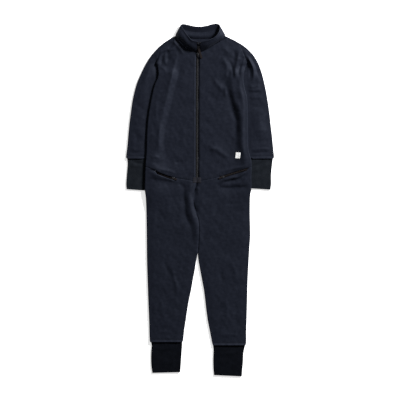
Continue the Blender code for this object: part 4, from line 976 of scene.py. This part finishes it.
def pocket_drop(side, x):
    """How far the trousers' upper edge lies below the yoke seam, to leave the pocket's zip open."""
    outer_closed, outer_open, inner_open, inner_closed = (abs(place) for place in POCKET[side])
    at_outer = (outer_closed - abs(x)) / (outer_closed - outer_open)
    at_inner = (abs(x) - inner_closed) / (inner_open - inner_closed)
    return SEAM_GAP + POCKET_SLOT * np.clip(np.minimum(at_outer, at_inner), 0, 1)


def trouser_panel(side, front):
    hem_y = BODY_EDGE[side][0][0]

    def inner_x(y):
        """The centre seam above the crotch and the inseam below it."""
        seam = smooth(CENTRE_SEAM, y) if front else constant(BACK_SEAM_X)(y)
        seam = seam + OUTWARD[side] * SEAM_GAP / 2
        return np.where(np.asarray(y) > CROTCH_Y, seam, straight(INSEAM[side], y))

    def top_y(x):
        return smooth(YOKE, x) - pocket_drop(side, x) if front else constant(WAIST_Y - SEAM_GAP)(x)

    return Panel(
        side,
        (inner_x, lambda y: body_edge(side, y), constant(float(hem_y)), top_y),
        front=front,
        low_seam=0.0,
        high_seam=0.5,
        hemmed=True,
        guesses=(hem_y, 85),
        inner_roll=lambda y: ease((INSEAM_ROLL_Y - y) / ROLL_BLEND),
        inner_seam=lambda y: ease((y - CROTCH_Y) / ROLL_BLEND),
    )


PANELS = {f"front_{side}": front_panel(side) for side in SIDES}
PANELS["back"] = back_panel()
for _side in SIDES:
    PANELS[f"trouser_front_{_side}"] = trouser_panel(_side, True)
    PANELS[f"trouser_back_{_side}"] = trouser_panel(_side, False)

CUT_SIZES = {  # width, length and flat area of each cloth piece as it lies, in metres
    "front_right": (0.18, 0.49, 0.070), "front_left": (0.18, 0.49, 0.070), "back": (0.37, 0.46, 0.150),
    "trouser_front_right": (0.19, 0.61, 0.090), "trouser_front_left": (0.20, 0.62, 0.090),
    "trouser_back_right": (0.19, 0.60, 0.090), "trouser_back_left": (0.20, 0.60, 0.090),
}


def build_panels():
    for name, panel in PANELS.items():
        width, length, area = CUT_SIZES[name]
        lay(panel.build(f"{name}_cloth"), "fleece", (width, length), name, area=area)


# ---------------------------------------------------------------- sleeves and cuffs


def tube(name, stations, roll, thickness, finish, marks, seed, tuck=0.0, underarm=None, hemmed=False):
    """Tube pressed flat on the floor, with creases on its upper side and softer ones beneath.

    tuck is how wide its inner part lies hidden under the body, and underarm where the body presses it down.
    """
    stations = np.array(stations, float)
    along_tube = lengths_along((stations[:, 0:2] + stations[:, 2:4]) / 2)
    at = np.linspace(0, along_tube[-1], int(along_tube[-1] / STEP) + 1)
    rows = smooth_columns(along_tube, stations, at)
    outer_edge, inner_edge, loft = rows[:, None, 0:2], rows[:, None, 2:4], rows[:, None, 4]
    width = np.linalg.norm(inner_edge - outer_edge, axis=2)
    along = (inner_edge - outer_edge) / width[:, :, None]
    hidden_reach = (tuck * ease(at / TUCK_START))[:, None]
    pressed = 0.0
    if underarm is not None:
        away = np.hypot(inner_edge[:, :, 0] - underarm[0], inner_edge[:, :, 1] - underarm[1])
        pressed = PRESS_DEPTH * bell(away, 0, PRESS_WIDTH)
    top = 2 * roll + np.minimum(loft, 0.0)
    across = int(width.max() / STEP)
    turn = np.radians(np.linspace(90, -90, ROLL_ROWS)[1:-1])[None, :]

    def level_place(gap):
        return outer_edge + along * gap[:, :, None]

    # the upper side, from the outer roll to the inner roll
    upper = lerp(roll, width - roll, np.linspace(0, 1, across + 1)[None, :])
    place = level_place(upper)
    x, y = place[:, :, 0], place[:, :, 1]
    from_body = width - upper - hidden_reach
    rise = ease((upper - roll) / LOFT_REACH) * ease((width - upper - roll - hidden_reach) / LOFT_REACH)
    shown = ease(from_body / HIDDEN_BLEND + HIDDEN_START)
    form = creases(x, y, marks) + TUBE_UNEVENNESS * unevenness(x, y, seed)
    form = np.maximum(loft, 0) * rise + form * (EDGE_FORM + (1 - EDGE_FORM) * rise) * shown
    if hemmed:
        form = form + hem_band(at[-1] - at)[:, None] * ease(np.minimum(upper, from_body) / HEM_END)
    upper_height = top + form - pressed * (1 - ease((width - upper - PRESS_FLAT) / PRESS_FADE))

    # the side beneath, back from the inner roll to the outer roll
    share = np.linspace(0, 1, across // 2 + 1)[None, :]
    beneath = lerp(width - roll, roll, share)
    place = level_place(beneath)
    soft = np.maximum(creases(place[:, :, 0], place[:, :, 1], marks), 0) * SOFT_BENEATH
    beneath_height = soft * ease(np.minimum(share, 1 - share) / SOFT_RIM)

    gap = np.concatenate([
        upper,
        width - roll + roll * np.cos(turn),
        beneath,
        roll - roll * np.cos(turn[:, ::-1]) + 0 * width,
    ], 1)
    height = np.concatenate([
        upper_height,
        (top - pressed) / 2 * (1 + np.sin(turn)),
        beneath_height,
        top / 2 * (1 + np.sin(turn[:, ::-1])),
    ], 1)
    outer = np.concatenate([level_place(gap), height[:, :, None]], 2)
    inner = wall_inside(outer, thickness, ring=True)
    uv = np.stack(np.meshgrid(lengths_along(outer[len(outer) // 2]), at), 2)
    return shell(name, outer, inner, finish, uv, ring=True)


def build_tubes():
    for side in SIDES:
        name, tuck = f"sleeve_{side}", TUCK[side]
        sleeve = tube(
            f"{name}_cloth", SLEEVE[side], EDGE_ROLL, FLEECE, FLEECE_FINISH, SLEEVE_CREASES, 2,
            tuck, UNDERARM[side], hemmed=True,
        )
        lay(sleeve, "fleece", (0.21, 0.40), name, area=0.062)
        for name, stations, finish, seed, tuck, flat, area in (
            (f"arm_cuff_{side}", ARM_CUFF[side], ARM_KNIT_FINISH, 3, TUCK[side], (0.17, 0.11), 0.0175),
            (f"leg_cuff_{side}", LEG_CUFF[side], LEG_KNIT_FINISH, 4, 0.0, (0.215, 0.11), 0.0215),
        ):
            cuff = tube(f"{name}_cloth", stations, KNIT_ROLL, KNIT, finish, CUFF_CREASES, seed, tuck)
            lay(cuff, "rib_knit", flat, name, area=area)


# ---------------------------------------------------------------- collar


def build_collar():
    """Doubled band, rounded over at its top edge and pulled in at its foot seam."""
    stations = np.array(COLLAR)
    last = len(stations) - 1
    at = np.linspace(0, last, COLLAR_COLUMNS + 1)
    value = smooth_columns(np.arange(last + 1), stations, at)
    foot, top, bulge = value[:, :3], value[:, 3:6], value[:, 6]
    share = np.concatenate([np.linspace(0, COLLAR_ROUND, COLLAR_ROWS), COLLAR_ROUND_STEPS])
    up_band = share[:, None]
    swell = np.where(
        up_band < COLLAR_CREST,
        np.sin(pi / 2 * up_band / COLLAR_CREST),
        0.5 + 0.5 * np.cos(pi * (up_band - COLLAR_CREST) / (1 - COLLAR_CREST)),
    )
    lying = 1 - ease((top[:, 2] - foot[:, 2]) / COLLAR_STANDS)
    curl = COLLAR_FOOT_RISE * bell(up_band, 0.2, 0.16) + COLLAR_CURL * ease((up_band - 0.5) / 0.5)
    middle = lerp(foot[None], top[None], share[:, None, None])
    middle[:, :, 2] += np.maximum(bulge, 0) * swell + lying * curl
    outward = unit(np.cross(np.gradient(middle, share, axis=0), np.gradient(middle, axis=1)))
    x, y = middle[:, :, 0] * COLLAR_WAVES, middle[:, :, 1] * COLLAR_WAVES
    soft = COLLAR_UNEVENNESS * unevenness(x, y, 9) * np.sin(pi * up_band) ** 0.5
    standing = np.clip(middle[:, :, 2:] / COLLAR_STANDS - 0.5, 0, 1)
    middle = middle + outward * soft[:, :, None] * standing

    # half the wall at each share of the height: rounded at the top, thin at the foot, grooved inside
    past_round = np.maximum(share - COLLAR_ROUND, 0) / (1 - COLLAR_ROUND)
    wall = np.maximum(np.sqrt(np.clip(1 - past_round**2, 0, 1)), COLLAR_TIP)
    foot_loss, foot_share = COLLAR_FOOT_SEAM
    wall = wall * (1 - foot_loss * (1 - ease(share / foot_share)))
    depth, place, spread = COLLAR_GROOVE
    groove = 1 - depth * bell(share, place, spread)
    outer = middle + outward * (COLLAR_WALL / 2 * wall)[:, None, None]
    inner = middle - outward * (COLLAR_WALL / 2 * wall * groove)[:, None, None]
    for layer in (outer, inner):
        layer[:, :, 2] = np.maximum(layer[:, :, 2], 0.0)
    uv = np.stack(np.meshgrid(lengths_along(middle[COLLAR_ROWS // 2 + 1]), share * COLLAR_TALL), 2)
    piece = shell("collar_cloth", outer, inner, FLEECE_FINISH, uv)
    lay(piece, "fleece", (0.36, 0.042), "collar")


# ---------------------------------------------------------------- zips


def frame_of(place):
    """Unit vectors along a line of places, level across it and square to both."""
    along = unit(np.gradient(place, axis=0))
    across = unit(np.cross(along, (0, 0, 1)))
    return along, across, np.cross(across, along)


def zip_line():
    """Middle line of the front zip, which dips at the neck and climbs between the collar's edges."""
    y = np.arange(ZIP_FOOT_Y, ZIP_TOP_Y + ZIP_STEP / 2, ZIP_STEP)
    slope = np.maximum(y - COLLAR_SLOPE_FOOT_Y, 0) * COLLAR_SLOPE
    dip = NECK_DIP * ease((y - NECK_DIP_Y) / NECK_DIP_LENGTH)
    return np.stack([smooth(ZIP_LINE, y), y, np.where(slope > 0, slope, -dip)], 1)


def pocket_line(outer_end, inner_end):
    """Middle line of a pocket's zip, under the yoke seam."""
    x = np.linspace(outer_end, inner_end, int(abs(inner_end - outer_end) / POCKET_STEP) + 1)
    y = smooth(YOKE, x) - SEAM_GAP - POCKET_SLOT / 2
    return np.stack([x, y, lift(x, y)], 1)


def ribbon(name, place, low_side, high_side, level, thickness, finish):
    """Flat ribbon along a line between two distances across it, which may vary along it."""
    _, across, up = frame_of(place)
    share = np.linspace(0, 1, 5)[None, :]
    low_side, high_side = (np.broadcast_to(side, len(place))[:, None] for side in (low_side, high_side))
    side = lerp(low_side, high_side, share)
    top = place[:, None] + across[:, None] * side[:, :, None] + up[:, None] * (level + thickness)
    return shell(name, top, top - up[:, None] * thickness, finish, top[:, :, :2])


def capsule(sides=6):
    """Unit rod along X from -0.5 to 0.5 with rounded ends: points and four-cornered faces."""
    stations = ((-0.5, 0.35), (-0.42, 0.8), (-0.25, 1.0), (0.25, 1.0), (0.42, 0.8), (0.5, 0.35))
    points, faces = [], []
    for x, radius in stations:
        for i in range(sides):
            turn = 2 * pi * i / sides
            points.append((x, cos(turn) * radius * 0.5, sin(turn) * radius * 0.5))
    for r in range(len(stations) - 1):
        for i in range(sides):
            a, b = r * sides + i, r * sides + (i + 1) % sides
            faces.append((a, b, b + sides, a + sides))
    last = len(points) - sides
    for i in range(0, sides - 2, 2):
        end = np.array((0, i + 1, i + 2, (i + 3) % sides))
        faces += [tuple(end), tuple(last + end)]
    return np.array(points), np.array(faces)


ROD_POINTS, ROD_FACES = capsule()


def rods(name, centres, vectors, size, finish):
    """Many small rounded rods in one mesh, with their length, width and height along three vectors."""
    local = ROD_POINTS[None, :, :] * np.asarray(size, float)
    points = centres[:, None]
    for k, vector in enumerate(vectors):
        points = points + local[:, :, k : k + 1] * vector[:, None]
    faces = ROD_FACES[None] + (np.arange(len(centres)) * len(ROD_POINTS))[:, None, None]
    return add_mesh(name, points.reshape(-1, 3) * MM, faces.reshape(-1, 4), finish, ROD_SHARP)


def resample(place, pitch, offset=0.0):
    """Places spaced evenly along a line of points."""
    length = lengths_along(place)
    at = np.arange(offset, length[-1], pitch)
    return np.stack([np.interp(at, length, column) for column in place.T], 1)


def coil_teeth(name, place, sign, apart, node, finish):
    """One side's row of coil turns, each a rounded rod across the zip that reaches into the other row."""
    centre_line = resample(place, COIL_PITCH, COIL_PITCH / 2 if sign > 0 else 0.0)
    along, across, up = frame_of(centre_line)
    reach = apart(centre_line[:, 1])[:, None]
    middle = centre_line + across * sign * (reach + (COIL_WIDTH - COIL_CLOSING) / 2)
    middle = middle + up * (COIL_LOW + COIL_HIGH) / 2
    lean = unit(across * sign + along * COIL_LEAN)
    size = (COIL_WIDTH + COIL_CLOSING, COIL_THICK, COIL_HIGH - COIL_LOW)
    dress(rods(name, middle, (lean, along, up), size, finish), "zip_plastic", node)


def build_front_zip():
    place = zip_line()

    def apart(y):
        """Half the distance between the two sides, which part at the top."""
        return SEAM_GAP / 2 + ZIP_SPREAD * ease((y - ZIP_SPREAD_Y) / ZIP_SPREAD_LENGTH)

    coiled = place[place[:, 1] >= COIL_FOOT_Y]
    for side, sign in OUTWARD.items():
        edges = sign * apart(place[:, 1]), sign * TAPE_HALF
        tape = ribbon(f"zip_tape_{side}_cloth", place, *edges, TAPE_LOW, TAPE, TAPE_FINISH)
        lay(tape, "zip_tape", (TAPE_HALF * MM, 0.485), f"zip_tape_{side}")
        coil_teeth(f"zip_coil_{side}_turns", coiled, sign, apart, f"zip_coil_{side}", COIL_FINISH)


def build_pocket_zips():
    for side, length in (("right", 0.08), ("left", 0.104)):
        outer_closed, outer_open, inner_open, inner_closed = POCKET[side]
        place = pocket_line(outer_closed, inner_closed - POCKET_TAPE_PAST * OUTWARD[side])
        edges = -POCKET_TAPE_HALF, POCKET_TAPE_HALF
        tape = ribbon(f"pocket_tape_{side}_cloth", place, *edges, TAPE_LOW, TAPE, POCKET_TAPE_FINISH)
        lay(tape, "zip_tape", (2 * POCKET_TAPE_HALF * MM, length), f"pocket_tape_{side}")
        coiled = pocket_line(outer_open, inner_open)
        name, closed = f"pocket_coil_{side}", constant(SEAM_GAP / 2)
        for sign, row in ((-1, "a"), (1, "b")):
            coil_teeth(f"{name}_{row}", coiled, sign, closed, name, POCKET_COIL_FINISH)


def dress_hardware():
    for zip_name in ("zip", "pocket_right", "pocket_left"):
        for part, finish in (("slider", METAL_FINISH), ("pull", PULL_FINISH)):
            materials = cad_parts[f"{zip_name}_{part}"].data.materials
            materials.clear()
            materials.append(finish)


# ---------------------------------------------------------------- small pieces on the front


def lay_patch(node, slot, finish, panel, middle, size, turn, thickness, clear):
    """Small flat piece on a panel's surface, thinner at its rim."""
    u, v = np.meshgrid(*(np.linspace(-0.5, 0.5, PATCH_POINTS) * extent for extent in size))
    x = middle[0] + u * cos(turn) - v * sin(turn)
    y = middle[1] + u * sin(turn) + v * cos(turn)
    rim = np.minimum(size[0] / 2 - np.abs(u), size[1] / 2 - np.abs(v))
    z = panel.surface(x, y) + clear
    top = np.stack([x, y, z + thickness * lerp(PATCH_RIM, 1, ease(rim / PATCH_RIM_WIDTH))], 2)
    piece = shell(f"{node}_cloth", top, np.stack([x, y, z], 2), finish, top[:, :, :2])
    lay(piece, slot, (size[0] * MM, size[1] * MM), node)


def build_small_pieces():
    left_edge, top_edge = (lambda y: body_edge("left", y)), (lambda x: straight(FRONT_TOP, x))
    across_zip = Panel("left", (constant(-60.0), left_edge, constant(20.0), top_edge))
    lay_patch(
        "zip_end_patch", "zip_tape", PATCH_FINISH, across_zip, (-10.0, 68.0), (27.0, 18.0), 0.0, 1.1, 0.2
    )
    lay_patch(
        "chest_tab", "woven_tab", TAB_FINISH, PANELS["front_left"], (128.5, 151.5), (16.0, 20.0),
        radians(-6), 1.0, 0.15,
    )


# ---------------------------------------------------------------- stitching


def sew(name, lines):
    """Rows of stitches as one piece, each row along (x, y) points on a panel."""
    rows = []
    for panel, points in lines:
        flat = smooth_path(points, 12)
        places = resample(np.concatenate([flat, np.zeros((len(flat), 1))], 1), STITCH_PITCH)
        places[:, 2] = panel.surface(places[:, 0], places[:, 1]) + STITCH_CLEAR
        rows.append((places, *frame_of(places)))
    centres, *vectors = (np.concatenate(parts) for parts in zip(*rows))
    dress(rods(name, centres, vectors, STITCH_SIZE, THREAD_FINISH), "fleece")


def build_stitching():
    zip_lines, yoke_lines, hem_lines = [], [], []
    for side, sign in OUTWARD.items():
        panel = PANELS[f"front_{side}"]
        gap = sign * (ZIP_SLOT_HALF + ZIP_STITCH_GAP)
        zip_lines.append((panel, [(float(smooth(ZIP_LINE, y)) + gap, y) for y in ZIP_STITCH_YS]))
        for gap in YOKE_STITCH_GAPS:
            xs = sorted(np.linspace(*YOKE_STITCH_XS[side], 12))
            yoke_lines.append((panel, [(x, float(smooth(YOKE, x)) + gap) for x in xs]))
        hem_y = BODY_EDGE[side][0][0]
        start, stop = sorted((float(INSEAM[side][1][1]), float(BODY_EDGE[side][1][1])))
        xs = np.linspace(start + HEM_STITCH_INSET, stop - HEM_STITCH_INSET, 6)
        for part in ("front", "back"):
            for gap in HEM_STITCH_GAPS:
                hem_lines.append((PANELS[f"trouser_{part}_{side}"], [(x, hem_y + gap) for x in xs]))
    sew("zip_topstitch", zip_lines)
    sew("yoke_topstitch", yoke_lines)
    sew("leg_hem_topstitch", hem_lines)


def build_allowances():
    """Overlocked seam allowances inside the garment, under the sleeves' and cuffs' seams."""
    for side in SIDES:
        for seam, stations, shares, z, thickness in (
            ("armhole", SLEEVE[side], (0.2, 0.5, 0.97), 2.5, 1.0),
            ("arm_cuff", ARM_CUFF[side], (0.02, 0.5, 0.98), 1.9, 0.9),
            ("leg_cuff", LEG_CUFF[side], (0.02, 0.5, 0.98), 1.9, 0.9),
        ):
            outer_x, outer_y, inner_x, inner_y, _ = stations[0]
            place = smooth_path([(lerp(outer_x, inner_x, t), lerp(outer_y, inner_y, t), z) for t in shares])
            edges = -ALLOWANCE_HALF, ALLOWANCE_HALF
            name = f"{seam}_allowance_{side}"
            strip = ribbon(name, place, *edges, 0.0, thickness, ALLOWANCE_FINISH)
            lay(strip, "fleece", (2 * ALLOWANCE_HALF * MM, float(lengths_along(place)[-1]) * MM))


# ---------------------------------------------------------------- floor, light and camera


def build_stage():
    """White floor, one soft lamp from the upper right and a camera straight above, in metres."""
    reach = 40.0
    mesh = bpy.data.meshes.new("floor")
    corners = [(-reach, -reach, 0), (reach, -reach, 0), (reach, reach, 0), (-reach, reach, 0)]
    mesh.from_pydata(corners, [], [(0, 1, 2, 3)])
    white = new_finish("floor", {
        "Base Color": (0.86, 0.86, 0.86, 1),
        "Roughness": 0.9,
        "Specular IOR Level": 0.1,
        "Emission Color": (1, 1, 1, 1),
        "Emission Strength": 0.6,
    })[0]
    mesh.materials.append(white)
    floor = add_object("floor", mesh)
    floor.location.z = -0.0004

    world = bpy.data.worlds.new("studio")
    world.use_nodes = True
    set_inputs(world.node_tree.nodes["Background"], {"Color": (1, 1, 1, 1), "Strength": 0.22})
    bpy.context.scene.world = world

    lamp = bpy.data.lights.new("key", "AREA")
    lamp.shape = "RECTANGLE"
    lamp.size = lamp.size_y = 0.98
    lamp.energy = 690
    place, target = Vector((3.15, 2.87, 2.24)), Vector((0, 0.1, 0))
    key = add_object("key", lamp)
    key.location = place
    key.rotation_euler = (target - place).to_track_quat("-Z", "Y").to_euler()

    lens = bpy.data.cameras.new("camera")
    lens.lens = 200
    lens.sensor_width = 36
    camera = add_object("camera", lens)
    half_view = 0.68
    camera.location = (-0.0002, 0.0002, half_view / (lens.sensor_width / 2 / lens.lens))
    bpy.context.scene.camera = camera
    bpy.context.scene.view_settings.view_transform = "Standard"


build_panels()
build_tubes()
build_collar()
build_front_zip()
build_pocket_zips()
dress_hardware()
build_small_pieces()
build_stitching()
build_allowances()
build_stage()
